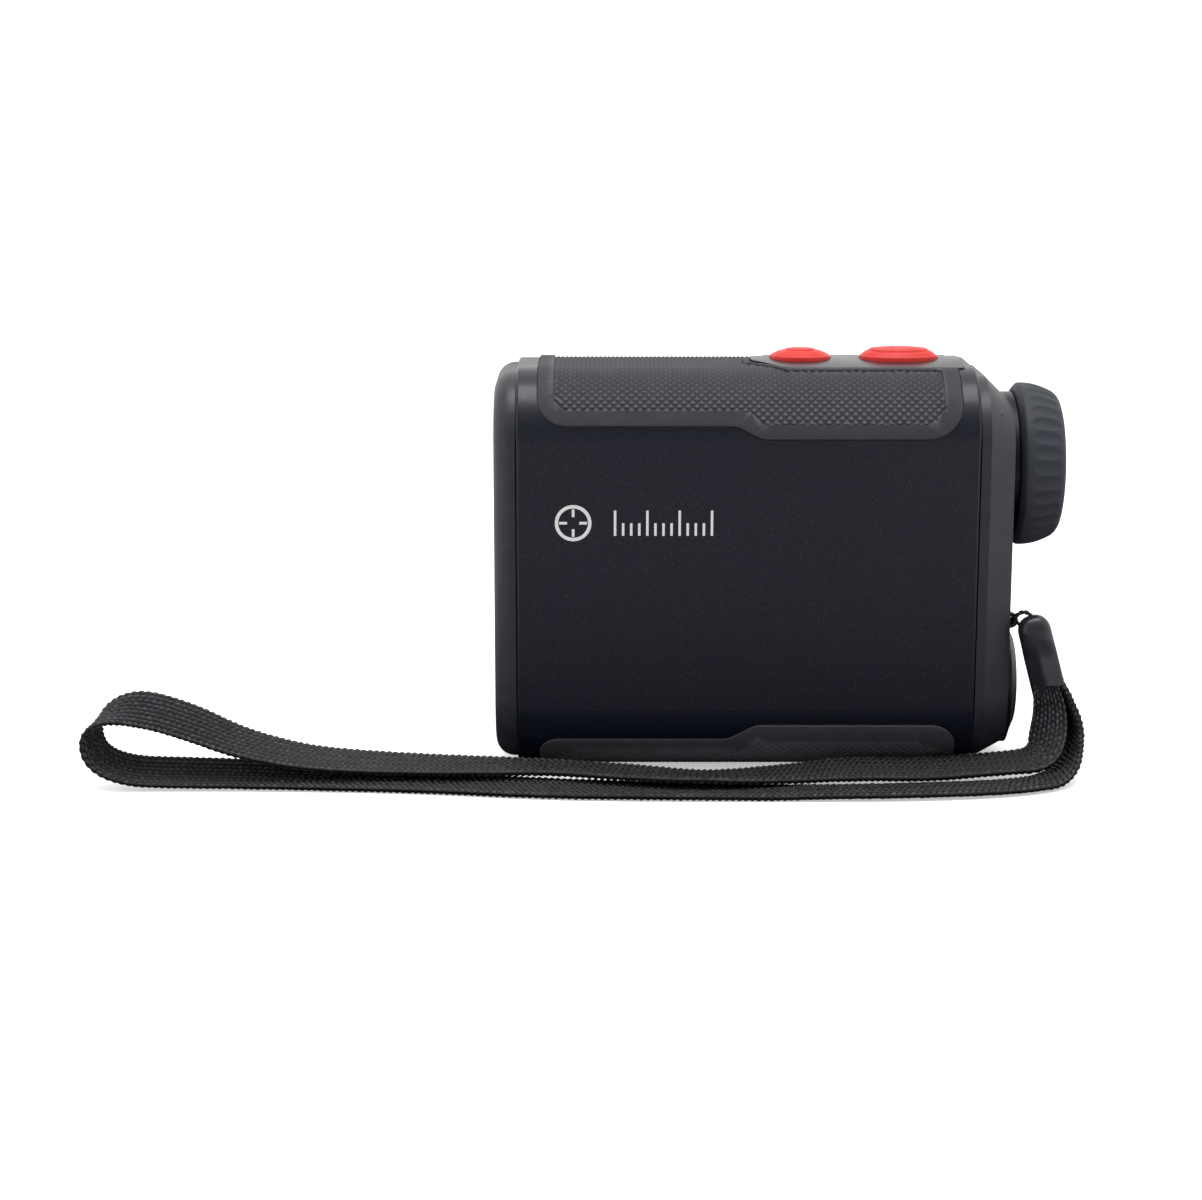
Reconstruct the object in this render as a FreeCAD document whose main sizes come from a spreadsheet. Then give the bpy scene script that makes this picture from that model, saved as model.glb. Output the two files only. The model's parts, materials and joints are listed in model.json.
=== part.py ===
import FreeCAD, Part
import math
import os
import re
import Sketcher
from FreeCAD import Placement, Rotation, Vector

# Laser rangefinder: a hand-held monocular with a wrist strap.
# Millimetres. +X runs from the objective to the eyepiece, +Z is up, and the near side is -Y.
# The origin is on the ground under the middle of the housing.

DIMENSIONS = {
    # housing
    "body_long": 104.6, "body_wide": 41.0, "body_tall": 74.6, "body_round": 13.0,
    "shell_wall": 1.8, "shell_end_round": 0.7, "rear_seam": 35.2,
    "grip_proud": 0.4, "grip_thick": 1.2, "grip_gap": 0.15,
    "top_grip_front": -44.3, "top_grip_rear": 31.8, "top_grip_step": -8.7, "top_grip_step_end": -4.1,
    "top_grip_edge": 65.1, "top_grip_low_edge": 62.75,
    "bottom_grip_front": -44.2, "bottom_grip_rear": 31.9, "bottom_grip_step": -9.8,
    "bottom_grip_step_end": -4.7, "bottom_grip_edge": 7.1, "bottom_grip_high_edge": 10.0,
    "bezel_deep": 4.0, "bezel_wall": 2.2, "bezel_inset": 0.5, "bezel_low": 1.6, "bezel_high": 73.3,
    "bezel_round": 3.4, "spigot_long": 2.4, "spigot_gap": 0.1, "spigot_wall": 1.5,
    "band_long": 1.7, "band_low": 1.9, "band_high": 72.7,
    "taper_long": 4.8, "face_half": 16.6, "face_low": 4.4, "face_high": 67.9, "face_round": 9.0,
    "deck_front": -5.3, "deck_rear": 33.2, "deck_half": 9.5, "deck_top": 75.05, "deck_crown": 60.0,
    # internal frame
    "plate_thick": 1.4, "front_plate": -42.0, "rear_plate": 28.8, "shelf_low": 39.8, "shelf_half": 14.6,
    "screw_y": 14.0, "screw_low": 9.5, "screw_high": 65.5, "screw_shaft": 1.0, "screw_head": 1.9,
    "screw_head_tall": 1.6, "boss_round": 2.4,
    # buttons
    "mode_x": 3.85, "mode_long": 11.1, "mode_wide": 9.2, "mode_top": 76.9,
    "fire_x": 22.0, "fire_long": 14.3, "fire_wide": 10.0, "fire_top": 77.15,
    "button_gap": 0.2, "button_dome": 1.3, "flange_out": 0.5, "flange_thick": 0.8,
    "flange_low": 71.6, "button_foot": 70.6, "foot_round": 1.6,
    "switch_deck": 67.3, "board_thick": 1.0, "switch_size": 5.0, "switch_tall": 1.6,
    "plunger_round": 1.25, "plunger_low": 69.1,
    # viewing optics
    "eye_axis": 55.3, "objective_round": 12.0, "objective_tube": 13.2, "objective_curve": 45.0,
    "tube_round": 11.6, "tube_bore": 10.4, "collar_round": 13.4,
    "ring_bore": 11.68, "ring_round": 13.2, "rubber_round": 15.06, "eyecup_bore": 9.8,
    "cell_round": 10.3, "ocular_round": 9.3, "roof_half": 9.9, "roof_low": 59.5, "ridge_half": 2.0,
    # laser optics
    "laser_axis": 22.0, "laser_round": 8.4, "laser_tube": 9.2, "laser_curve": 26.0, "diode_round": 2.75,
    # battery
    "battery_axis": 14.1, "battery_round": 7.8, "battery_long": 27.0, "battery_front": 11.4,
    "sleeve_round": 9.4, "sleeve_bore": 8.1, "cap_round": 11.9, "cap_deep": 2.8,
    "thread_bore": 10.4, "thread_round": 10.25,
    # lanyard and strap
    "lug_x": 42.2, "lug_y": -12.9, "lug_z": 28.3, "lug_round": 1.4, "lug_hole": 0.7, "lug_thick": 1.6,
    "connector_x": 49.2, "connector_y": -16.0, "connector_z": 16.05, "connector_lean": 15.0,
    "connector_wide": 6.0, "connector_deep": 5.0, "connector_long": 14.2, "connector_round": 1.8,
    "loop_thick": 0.9, "strap_thick": 2.5,
}

# places along X and section limits that several pieces share
FRONT = "(-body_long/2)"
TAIL = "(body_long/2)"
FRONT_SEAM = "(-body_long/2+bezel_deep)"
REAR_SEAM = "rear_seam"
REAR_FACE = "(rear_seam+band_long+taper_long)"
BEZEL_BACK = "(-body_long/2+bezel_wall)"
WINDOW_END = "(-body_long/2+bezel_wall+0.01)"
SHELL_HALF = "(body_wide/2-grip_proud)"
SHELL_ROUND = "(body_round-grip_proud)"
SHELL_TOP = "(body_tall-grip_proud)"
INNER_HALF = "(body_wide/2-grip_proud-shell_wall)"
INNER_LOW = "(grip_proud+shell_wall)"
INNER_TOP = "(body_tall-grip_proud-shell_wall)"
INNER_ROUND = "(body_round-grip_proud-shell_wall)"

# The wrist strap's centreline, from one end in the connector round to the other.
STRAP_ROUTE = [
    (50.5, -16.0, 16.4), (53.0, -16.1, 14.0), (54.9, -16.7, 9.6), (54.2, -18.6, 5.0), (50.8, -21.2, 2.4),
    (45.2, -23.8, 1.5), (36.0, -25.8, 1.4), (23.0, -27.2, 1.4), (8.0, -29.4, 1.4), (-9.0, -30.6, 1.4),
    (-27.0, -29.6, 1.4), (-44.0, -26.4, 1.5), (-61.0, -23.7, 1.9), (-79.0, -22.5, 2.3),
    (-97.0, -21.7, 2.3), (-110.0, -21.5, 2.4), (-119.2, -21.8, 2.9), (-125.2, -22.2, 5.9),
    (-126.3, -22.5, 10.4), (-122.4, -22.7, 14.0), (-116.0, -22.8, 14.9), (-107.0, -22.9, 12.9),
    (-98.0, -22.8, 9.3), (-86.0, -22.6, 6.2), (-71.0, -22.4, 4.8), (-56.0, -22.8, 4.2),
    (-42.0, -23.8, 4.1), (-28.0, -25.6, 3.8), (-14.0, -26.0, 3.7), (0.0, -24.4, 3.8),
    (13.0, -23.1, 3.9), (26.0, -22.9, 3.7), (37.0, -21.8, 3.9), (44.6, -19.6, 4.5), (48.4, -17.7, 7.2),
    (49.3, -16.5, 11.2), (47.9, -16.0, 15.7),
]

# The thin cord's centreline: up through the connector, through the lug's eye and back.
LOOP_ROUTE = [
    (49.4, -16.0, 17.4), (47.9, -15.9, 22.4), (46.6, -16.0, 26.6), (45.8, -15.8, 29.8), (44.0, -15.3, 30.5),
    (42.3, -14.7, 28.7), (42.1, -11.4, 28.1), (44.1, -11.5, 27.4), (45.4, -14.5, 26.0), (46.8, -15.9, 22.4),
    (48.2, -15.9, 17.2),
]

TOUCH = 1e-6    # points nearer than this are the same point

document = FreeCAD.newDocument("rangefinder")
sheet = document.addObject("Spreadsheet::Sheet", "Dims")
finished = []


def fill_sheet():
    for row, (word, number) in enumerate(DIMENSIONS.items(), 1):
        sheet.set(f"A{row}", word)
        sheet.set(f"B{row}", str(number))
        sheet.setAlias(f"B{row}", word)
    document.recompute()


def ref(text):
    """Point each dimension's word at its cell in the sheet."""
    def cell(word):
        return "Dims." + word[0] if word[0] in DIMENSIONS else word[0]

    return re.sub(r"[a-z_]+", cell, str(text))


def value(text):
    return float(sheet.evalExpression(ref(text)))


def bind(item, name, text):
    item.setExpression(name, ref(text))


def place(item, x="0", y="0", z="0"):
    for letter, text in zip("xyz", (x, y, z)):
        bind(item, "Placement.Base." + letter, text)
    return item


def piece(node, item):
    """Name a finished sub-part; its label is its file's name."""
    item.Label = node
    finished.append(item)
    return item


# ---- solids ----

def block(name, x, y, z):
    box = document.addObject("Part::Box", name)
    for side, (low, high) in zip(("Length", "Width", "Height"), (x, y, z)):
        bind(box, side, f"({high})-({low})")
    return place(box, x[0], y[0], z[0])


def rod(name, radius, x, y="0", z="0"):
    """A cylinder along X."""
    cylinder = document.addObject("Part::Cylinder", name)
    cylinder.Placement = Placement(Vector(), Rotation(Vector(0, 1, 0), 90))
    bind(cylinder, "Radius", radius)
    bind(cylinder, "Height", f"({x[1]})-({x[0]})")
    return place(cylinder, x[0], y, z)


def cross_rod(name, radius, x, y, z):
    """A cylinder along Y."""
    cylinder = document.addObject("Part::Cylinder", name)
    cylinder.Placement = Placement(Vector(), Rotation(Vector(1, 0, 0), -90))
    bind(cylinder, "Radius", radius)
    bind(cylinder, "Height", f"({y[1]})-({y[0]})")
    return place(cylinder, x, y[0], z)


def post(name, radius, x, y, z):
    """A cylinder along Z."""
    cylinder = document.addObject("Part::Cylinder", name)
    bind(cylinder, "Radius", radius)
    bind(cylinder, "Height", f"({z[1]})-({z[0]})")
    return place(cylinder, x, y, z[0])


def cone(name, front, rear, x, z):
    shape = document.addObject("Part::Cone", name)
    shape.Placement = Placement(Vector(), Rotation(Vector(0, 1, 0), 90))
    bind(shape, "Radius1", front)
    bind(shape, "Radius2", rear)
    bind(shape, "Height", f"({x[1]})-({x[0]})")
    return place(shape, x[0], "0", z)


def ball(name, radius, x, z):
    shape = document.addObject("Part::Sphere", name)
    bind(shape, "Radius", radius)
    return place(shape, x, "0", z)


def o_ring(name, radius, thick, x, z):
    ring = document.addObject("Part::Torus", name)
    ring.Placement = Placement(Vector(), Rotation(Vector(0, 1, 0), 90))
    bind(ring, "Radius1", radius)
    bind(ring, "Radius2", thick)
    return place(ring, x, "0", z)


def fuse(name, *items):
    joined = document.addObject("Part::MultiFuse", name)
    joined.Shapes = list(items)
    return joined


def common(name, *items):
    shared = document.addObject("Part::MultiCommon", name)
    shared.Shapes = list(items)
    return shared


def cut(name, base, *tools):
    removed = document.addObject("Part::Cut", name)
    removed.Base = base
    removed.Tool = tools[0] if len(tools) == 1 else fuse(name + "Tools", *tools)
    return removed


def group(name, *items):
    """Several separate solids that share one node."""
    together = document.addObject("Part::Compound", name)
    together.Links = list(items)
    return together


# ---- sketched solids ----

def sketch_on(body, role, name):
    plane = [item for item in body.Origin.OriginFeatures if item.Role == role][0]
    drawing = body.newObject("Sketcher::SketchObject", name)
    drawing.AttachmentSupport = [(plane, "")]
    drawing.MapMode = "FlatFace"
    return drawing


def pin_down(drawing, kind, shape, point, text):
    """Hold one coordinate of a point at a distance from the sketch's origin."""
    number = value(text)
    if abs(number) < 1e-9:
        axis = -2 if kind == "DistanceX" else -1
        drawing.addConstraint(Sketcher.Constraint("PointOnObject", shape, point, axis))
        return
    index = drawing.addConstraint(Sketcher.Constraint(kind, -1, 1, shape, point, number))
    drawing.setExpression(f"Constraints[{index}]", ref(text))


def draw_outline(drawing, points):
    """A closed outline of straight sides."""
    corners = [Vector(value(across), value(up), 0) for across, up in points]
    count = len(corners)
    for index in range(count):
        drawing.addGeometry(Part.LineSegment(corners[index], corners[(index + 1) % count]), False)
    for index in range(count):
        drawing.addConstraint(Sketcher.Constraint("Coincident", index, 2, (index + 1) % count, 1))
    for index, (across, up) in enumerate(points):
        pin_down(drawing, "DistanceX", index, 1, across)
        pin_down(drawing, "DistanceY", index, 1, up)


def draw_round_section(drawing, half, z, corner):
    """A rectangle with round corners: four arcs, joined by four straight sides."""
    low, high = z
    centres = [
        (f"-({half})+({corner})", f"({low})+({corner})", 180),
        (f"({half})-({corner})", f"({low})+({corner})", 270),
        (f"({half})-({corner})", f"({high})-({corner})", 0),
        (f"-({half})+({corner})", f"({high})-({corner})", 90),
    ]
    for across, up, start in centres:
        circle = Part.Circle(Vector(value(across), value(up), 0), Vector(0, 0, 1), value(corner))
        arc = Part.ArcOfCircle(circle, math.radians(start), math.radians(start + 90))
        drawing.addGeometry(arc, False)
    for index in range(4):
        first = drawing.Geometry[index].EndPoint
        second = drawing.Geometry[(index + 1) % 4].StartPoint
        drawing.addGeometry(Part.LineSegment(first, second), False)
    for index, (across, up, start) in enumerate(centres):
        pin_down(drawing, "DistanceX", index, 3, across)
        pin_down(drawing, "DistanceY", index, 3, up)
        radius = drawing.addConstraint(Sketcher.Constraint("Radius", index, value(corner)))
        drawing.setExpression(f"Constraints[{radius}]", ref(corner))
        level, upright = (1, 2) if start in (0, 180) else (2, 1)
        drawing.addConstraint(Sketcher.Constraint("Horizontal", index, level, index, 3))
        drawing.addConstraint(Sketcher.Constraint("Vertical", index, upright, index, 3))
        drawing.addConstraint(Sketcher.Constraint("Coincident", index + 4, 1, index, 2))
        drawing.addConstraint(Sketcher.Constraint("Coincident", index + 4, 2, (index + 1) % 4, 1))


def pad(body, drawing, length):
    feature = body.newObject("PartDesign::Pad", body.Name + "Pad")
    feature.Profile = drawing
    bind(feature, "Length", length)
    document.recompute()
    return feature


def round_edges(body, wanted, radius):
    """Fillet the edges of a body's last feature that a test picks out."""
    base = body.Tip
    names = [f"Edge{number}" for number, edge in enumerate(base.Shape.Edges, 1) if wanted(edge)]
    if not names:
        raise RuntimeError(f"{body.Name}: no edge to round")
    fillet = body.newObject("PartDesign::Fillet", f"{body.Name}Round{len(body.Group)}")
    fillet.Base = (base, names)
    bind(fillet, "Radius", radius)
    document.recompute()


def new_body(name):
    return document.addObject("PartDesign::Body", name)


def bar(name, x, half, z, corner):
    """A bar along X whose section is a rectangle with round corners."""
    body = new_body(name)
    drawing = sketch_on(body, "YZ_Plane", name + "Section")
    draw_round_section(drawing, half, z, corner)
    pad(body, drawing, f"({x[1]})-({x[0]})")
    return place(body, x[0])


def turned(name, z, points):
    """A solid of revolution about an axis along X; each point is (x, radius)."""
    body = new_body(name)
    drawing = sketch_on(body, "XZ_Plane", name + "Profile")
    draw_outline(drawing, points)
    turn = body.newObject("PartDesign::Revolution", name + "Turn")
    turn.Profile = drawing
    turn.ReferenceAxis = (drawing, ["H_Axis"])
    turn.Angle = 360
    return place(body, "0", "0", z)


def side_plate(name, points, y, rounds=()):
    """An outline in X and Z, drawn out along Y, with some of its corners rounded."""
    body = new_body(name)
    drawing = sketch_on(body, "XZ_Plane", name + "Outline")
    draw_outline(drawing, points)
    pad(body, drawing, f"({y[1]})-({y[0]})")
    round_corners(body, points, rounds, lambda spot: (spot.x, spot.z))
    return place(body, "0", y[1], "0")


def top_plate(name, points, z, rounds=()):
    """An outline in X and Y, drawn out along Z, with some of its corners rounded."""
    body = new_body(name)
    drawing = sketch_on(body, "XY_Plane", name + "Outline")
    draw_outline(drawing, points)
    pad(body, drawing, f"({z[1]})-({z[0]})")
    round_corners(body, points, rounds, lambda spot: (spot.x, spot.y))
    return place(body, "0", "0", z[0])


def round_corners(body, points, rounds, flat):
    """Round the outline's corners: rounds is a list of (radius, corner numbers)."""
    for radius, corners in rounds:
        spots = [(value(points[number][0]), value(points[number][1])) for number in corners]

        def at_corner(edge):
            ends = [flat(vertex.Point) for vertex in edge.Vertexes]
            if len(ends) != 2 or math.dist(*ends) > TOUCH:
                return False
            return min(math.dist(ends[0], spot) for spot in spots) < TOUCH

        round_edges(body, at_corner, radius)


# ---- housing ----

def grip_layer(name, outer, inner):
    """The hollow layer round the housing between two depths below its widest outline."""
    span = ("-46", "34")
    skins = []
    for part, depth in (("Outside", outer), ("Inside", inner)):
        heights = (depth, f"body_tall-({depth})")
        skins.append(bar(name + part, span, f"body_wide/2-({depth})", heights, f"body_round-({depth})"))
    return cut(name, *skins)


def top_grip_outline(name, grow):
    front = f"top_grip_front-({grow})"
    rear = f"top_grip_rear+({grow})"
    high = f"top_grip_edge-({grow})"
    low = f"top_grip_low_edge-({grow})"
    points = [
        (front, "body_tall+1"), (front, high), ("top_grip_step", high),
        ("top_grip_step_end", low), (rear, low), (rear, "body_tall+1"),
    ]
    return side_plate(name, points, ("-25", "25"), [("5.5", [1]), ("6.8", [4]), ("4", [2, 3])])


def bottom_grip_outline(name, grow):
    front = f"bottom_grip_front-({grow})"
    rear = f"bottom_grip_rear+({grow})"
    low = f"bottom_grip_edge+({grow})"
    high = f"bottom_grip_high_edge+({grow})"
    points = [
        (front, "-1"), (front, low), ("bottom_grip_step", low),
        ("bottom_grip_step_end", high), (rear, high), (rear, "-1"),
    ]
    return side_plate(name, points, ("-25", "25"), [("3.6", [1]), ("5", [4]), ("4", [2, 3])])


def deck_outline(name, grow):
    reach = f"deck_half+({grow})"
    points = [
        (f"deck_front-({grow})", "-3"), ("1", f"-({reach})"), (f"deck_rear+({grow})", f"-({reach})"),
        (f"deck_rear+({grow})", reach), ("1", reach), (f"deck_front-({grow})", "3"),
    ]
    rounds = [("5", [1, 4]), ("2.6", [0, 5]), ("1", [2, 3])]
    return top_plate(name, points, ("body_tall-5", "body_tall+2"), rounds)


def button_outline(name, x, size, z, grow="0"):
    """A rounded button seen from above: size is its length along X and its width."""
    along = f"({size[0]})/2+({grow})"
    across = f"({size[1]})/2+({grow})"
    points = [
        (f"({x})-({along})", f"-({across})"), (f"({x})+({along})", f"-({across})"),
        (f"({x})+({along})", across), (f"({x})-({along})", across),
    ]
    return top_plate(name, points, z, [(f"({across})-0.02", [0, 1, 2, 3])])


def make_shells_and_grips():
    outer = bar("ShellOutside", (FRONT_SEAM, REAR_SEAM), SHELL_HALF, ("grip_proud", SHELL_TOP), SHELL_ROUND)
    reach = value(REAR_SEAM) - value(FRONT_SEAM)

    def at_an_end(edge):
        return edge.BoundBox.XMax < TOUCH or edge.BoundBox.XMin > reach - TOUCH

    round_edges(outer, at_an_end, "shell_end_round")
    through = (f"{FRONT_SEAM}-1", f"{REAR_SEAM}+1")
    inner = bar("ShellInside", through, INNER_HALF, (INNER_LOW, INNER_TOP), INNER_ROUND)
    tube = cut("ShellTube", outer, inner)
    recess = grip_layer("RecessLayer", "-1", "grip_thick")
    top_recess = common("TopRecess", recess, top_grip_outline("TopRecessOutline", "grip_gap"))
    bottom_recess = common("BottomRecess", recess, bottom_grip_outline("BottomRecessOutline", "grip_gap"))
    deck_hole = deck_outline("DeckHole", "0")
    recessed = cut("ShellRecessed", tube, top_recess, bottom_recess, deck_hole)
    span = ("-60", "60")
    heights = ("-1", "body_tall+1")
    piece("left_shell", common("LeftShell", recessed, block("LeftHalf", span, ("-30", "0"), heights)))
    piece("right_shell", common("RightShell", recessed, block("RightHalf", span, ("0", "30"), heights)))
    layer = grip_layer("GripLayer", "0", "grip_thick")
    top = common("TopGripWhole", layer, top_grip_outline("TopGripOutline", "0"))
    piece("top_grip", cut("TopGrip", top, deck_outline("GripDeckHole", "grip_gap")))
    piece("bottom_grip", common("BottomGrip", layer, bottom_grip_outline("BottomGripOutline", "0")))
    crown = rod("DeckCrown", "deck_crown", ("deck_front-1", "deck_rear+1"), "0", "deck_top-deck_crown")
    deck = cut("DeckWhole", common("DeckCrowned", crown, deck_outline("DeckPlan", "0")), inner)
    holes = ("body_tall-5", "body_tall+2")
    piece("button_deck", cut(
        "ButtonDeck", deck,
        button_outline("ModeHole", "mode_x", ("mode_long", "mode_wide"), holes, "button_gap"),
        button_outline("FireHole", "fire_x", ("fire_long", "fire_wide"), holes, "button_gap")))


def corner_places():
    return [(side + "screw_y", height) for side in ("", "-") for height in ("screw_low", "screw_high")]


def corner_rods(name, radius, x):
    return [rod(f"{name}{number}", radius, x, y, z) for number, (y, z) in enumerate(corner_places(), 1)]


def make_front_bezel():
    face = bar("BezelFace", (FRONT, FRONT_SEAM), "body_wide/2-bezel_inset", ("bezel_low", "bezel_high"),
               "body_round-bezel_inset-0.2")
    round_edges(face, lambda edge: edge.BoundBox.XMax < TOUCH, "bezel_round")
    spigot_half = f"{INNER_HALF}-spigot_gap"
    back = f"{FRONT_SEAM}+spigot_long"
    spigot = bar("BezelSpigot", (FRONT_SEAM, back), spigot_half,
                 (f"{INNER_LOW}+spigot_gap", f"{INNER_TOP}-spigot_gap"), f"{INNER_ROUND}-spigot_gap")
    hollow_heights = (f"{INNER_LOW}+spigot_wall+0.1", f"{INNER_TOP}-spigot_wall-0.1")
    hollow = bar("BezelHollow", (BEZEL_BACK, f"{back}+1"), f"{spigot_half}-spigot_wall", hollow_heights,
                 f"{INNER_ROUND}-spigot_wall-0.1")
    frame = cut("BezelFrame", fuse("BezelSolid", face, spigot), hollow)
    bosses = corner_rods("BezelBoss", "boss_round", (BEZEL_BACK, "front_plate"))
    windows = [
        cone("ObjectiveWindow", "objective_round+2", "objective_round+0.3", (FRONT, WINDOW_END), "eye_axis"),
        cone("LaserWindow", "laser_round+1.4", "laser_round-0.3", (FRONT, WINDOW_END), "laser_axis"),
    ]
    holes = corner_rods("BezelHole", "screw_shaft", (f"{BEZEL_BACK}+0.6", "front_plate+0.1"))
    piece("front_bezel", cut("FrontBezel", fuse("BezelBossed", frame, *bosses), *windows, *holes))


def make_rear_cap():
    band_half = "body_wide/2-bezel_inset"
    band_round = "body_round-bezel_inset-0.5"
    body = new_body("CapOutside")
    wide = sketch_on(body, "YZ_Plane", "CapBandSection")
    draw_round_section(wide, band_half, ("band_low", "band_high"), band_round)
    pad(body, wide, "band_long")
    edge_section = sketch_on(body, "YZ_Plane", "CapEdgeSection")
    bind(edge_section, "AttachmentOffset.Base.z", "band_long")
    draw_round_section(edge_section, band_half, ("band_low", "band_high"), band_round)
    face_section = sketch_on(body, "YZ_Plane", "CapFaceSection")
    bind(face_section, "AttachmentOffset.Base.z", "band_long+taper_long")
    draw_round_section(face_section, "face_half", ("face_low", "face_high"), "face_round")
    loft = body.newObject("PartDesign::AdditiveLoft", "CapTaper")
    loft.Profile = edge_section
    loft.Sections = [face_section]
    loft.Ruled = True
    document.recompute()
    place(body, REAR_SEAM)
    start = "rear_seam-spigot_long"
    spigot = bar("CapSpigot", (start, REAR_SEAM), f"{INNER_HALF}-spigot_gap",
                 (f"{INNER_LOW}+spigot_gap", f"{INNER_TOP}-spigot_gap"), f"{INNER_ROUND}-spigot_gap")
    hollow = bar("CapHollow", (f"{start}-1", f"{REAR_FACE}-2"), "15.6", ("6", "66.4"), "8")
    frame = cut("CapFrame", fuse("CapSolid", body, spigot), hollow)
    lug_side = ("lug_y-lug_thick/2", "lug_y+lug_thick/2")
    added = [
        rod("EyeBoss", "collar_round", (f"{REAR_SEAM}", REAR_FACE), "0", "eye_axis"),
        rod("BatteryBoss", "cap_round-0.2", (f"{REAR_SEAM}", REAR_FACE), "0", "battery_axis"),
        cross_rod("LugRound", "lug_round", "lug_x", lug_side, "lug_z"),
        block("LugRoot", (f"{REAR_FACE}-1", "lug_x"), lug_side, ("lug_z-lug_round", "lug_z+lug_round")),
    ]
    bosses = corner_rods("CapBoss", "boss_round", ("rear_plate+plate_thick", f"{REAR_FACE}-2.5"))
    removed = [
        rod("EyeBore", "tube_round+0.05", (f"{REAR_SEAM}-3", f"{REAR_FACE}+1"), "0", "eye_axis"),
        rod("ThreadBore", "thread_bore", (f"{REAR_SEAM}+1.4", f"{REAR_FACE}+1"), "0", "battery_axis"),
        rod("SleeveBore", "sleeve_round+0.05", (f"{REAR_SEAM}-3", f"{REAR_SEAM}+1.5"), "0", "battery_axis"),
        cross_rod("LugEye", "lug_hole", "lug_x", ("lug_y-3", "lug_y+3"), "lug_z"),
    ]
    holes = corner_rods("CapHole", "screw_shaft", ("rear_plate+plate_thick-0.1", f"{REAR_FACE}-3.5"))
    piece("rear_cap", cut("RearCap", fuse("CapBossed", frame, *added, *bosses), *removed, *holes))


def make_chassis():
    half = f"{INNER_HALF}-0.2"
    heights = (f"{INNER_LOW}+0.2", f"{INNER_TOP}-0.2")
    corner = f"{INNER_ROUND}-0.2"
    solid = [
        bar("FrontPlate", ("front_plate", "front_plate+plate_thick"), half, heights, corner),
        bar("RearPlate", ("rear_plate", "rear_plate+plate_thick"), half, heights, corner),
        block("Shelf", ("front_plate", "rear_plate+plate_thick"), ("-shelf_half", "shelf_half"),
              ("shelf_low", "shelf_low+plate_thick")),
    ]
    solid += [post(f"BoardPost{number}", "2", x, y, ("shelf_low-2.6", "shelf_low"))
              for number, (x, y) in enumerate(board_screw_places(), 1)]
    front = ("front_plate-1", "front_plate+plate_thick+1")
    rear = ("rear_plate-1", "rear_plate+plate_thick+1")
    removed = [
        rod("ObjectiveHole", "objective_tube+0.1", front, "0", "eye_axis"),
        rod("LaserHole", "laser_tube+0.1", front, "0", "laser_axis"),
        rod("EyepieceHole", "tube_round+0.1", rear, "0", "eye_axis"),
        rod("BatteryHole", "sleeve_round+0.1", rear, "0", "battery_axis"),
        block("SealNotch", rear, ("-8.6", "8.6"), ("switch_deck-0.1", "body_tall")),
    ]
    removed += corner_rods("FrontScrewHole", "screw_shaft+0.1", front)
    removed += corner_rods("RearScrewHole", "screw_shaft+0.1", rear)
    removed += [post(f"PostHole{number}", "0.7", x, y, ("shelf_low-2.7", "shelf_low+0.6"))
                for number, (x, y) in enumerate(board_screw_places(), 1)]
    piece("chassis", cut("Chassis", fuse("ChassisSolid", *solid), *removed))


# ---- fasteners ----

def screw_along_x(name, y, z, seat, tip):
    """A pan-head screw: its head's underside is at seat, and tip is the end of its shaft."""
    direction = 1 if value(tip) > value(seat) else -1
    head = f"({seat})-({direction})*screw_head_tall"
    head_span, shaft_span = ((head, seat), (seat, tip)) if direction > 0 else ((seat, head), (tip, seat))
    pan = rod(name + "Head", "screw_head", head_span, y, z)
    shaft = rod(name + "Shaft", "screw_shaft", shaft_span, y, z)
    slot = block(name + "Slot", (f"({head})-0.5", f"({head})+0.5"), (f"({y})-3", f"({y})+3"),
                 (f"({z})-0.25", f"({z})+0.25"))
    return cut(name, fuse(name + "Solid", pan, shaft), slot)


def board_screw_places():
    return [(x, y) for x in ("-11", "24") for y in ("-11", "11")]


def make_screws():
    front = [screw_along_x(f"BezelScrew{number}", y, z, "front_plate+plate_thick", f"{BEZEL_BACK}+0.8")
             for number, (y, z) in enumerate(corner_places(), 1)]
    piece("bezel_screws", group("BezelScrews", *front))
    rear = [screw_along_x(f"CapScrew{number}", y, z, "rear_plate", f"{REAR_FACE}-3.8")
            for number, (y, z) in enumerate(corner_places(), 1)]
    piece("rear_cap_screws", group("RearCapScrews", *rear))
    small = []
    for number, (x, y) in enumerate(board_screw_places(), 1):
        head = post(f"BoardHead{number}", "1.4", x, y, ("shelf_low-4.9", "shelf_low-3.8"))
        shaft = post(f"BoardShaft{number}", "0.68", x, y, ("shelf_low-3.8", "shelf_low+0.4"))
        small.append(fuse(f"BoardScrew{number}", head, shaft))
    piece("board_screws", group("BoardScrews", *small))


# ---- buttons ----

def make_button(node, name, x, size, top):
    cap = button_outline(name + "Cap", x, size, ("flange_low+flange_thick", top))
    crown = value(f"({top})-flange_low-flange_thick")
    round_edges(cap, lambda edge: edge.BoundBox.ZMin > crown - TOUCH, "button_dome")
    flange_heights = ("flange_low", "flange_low+flange_thick")
    flange = button_outline(name + "Flange", x, size, flange_heights, "flange_out")
    foot = post(name + "Foot", "foot_round", x, "0", ("button_foot", "flange_low"))
    piece(node + "_button", fuse(name, cap, flange, foot))
    plunger = post(name + "Plunger", "plunger_round", x, "0", ("plunger_low", "button_foot"))
    piece(node + "_plunger", plunger)


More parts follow.
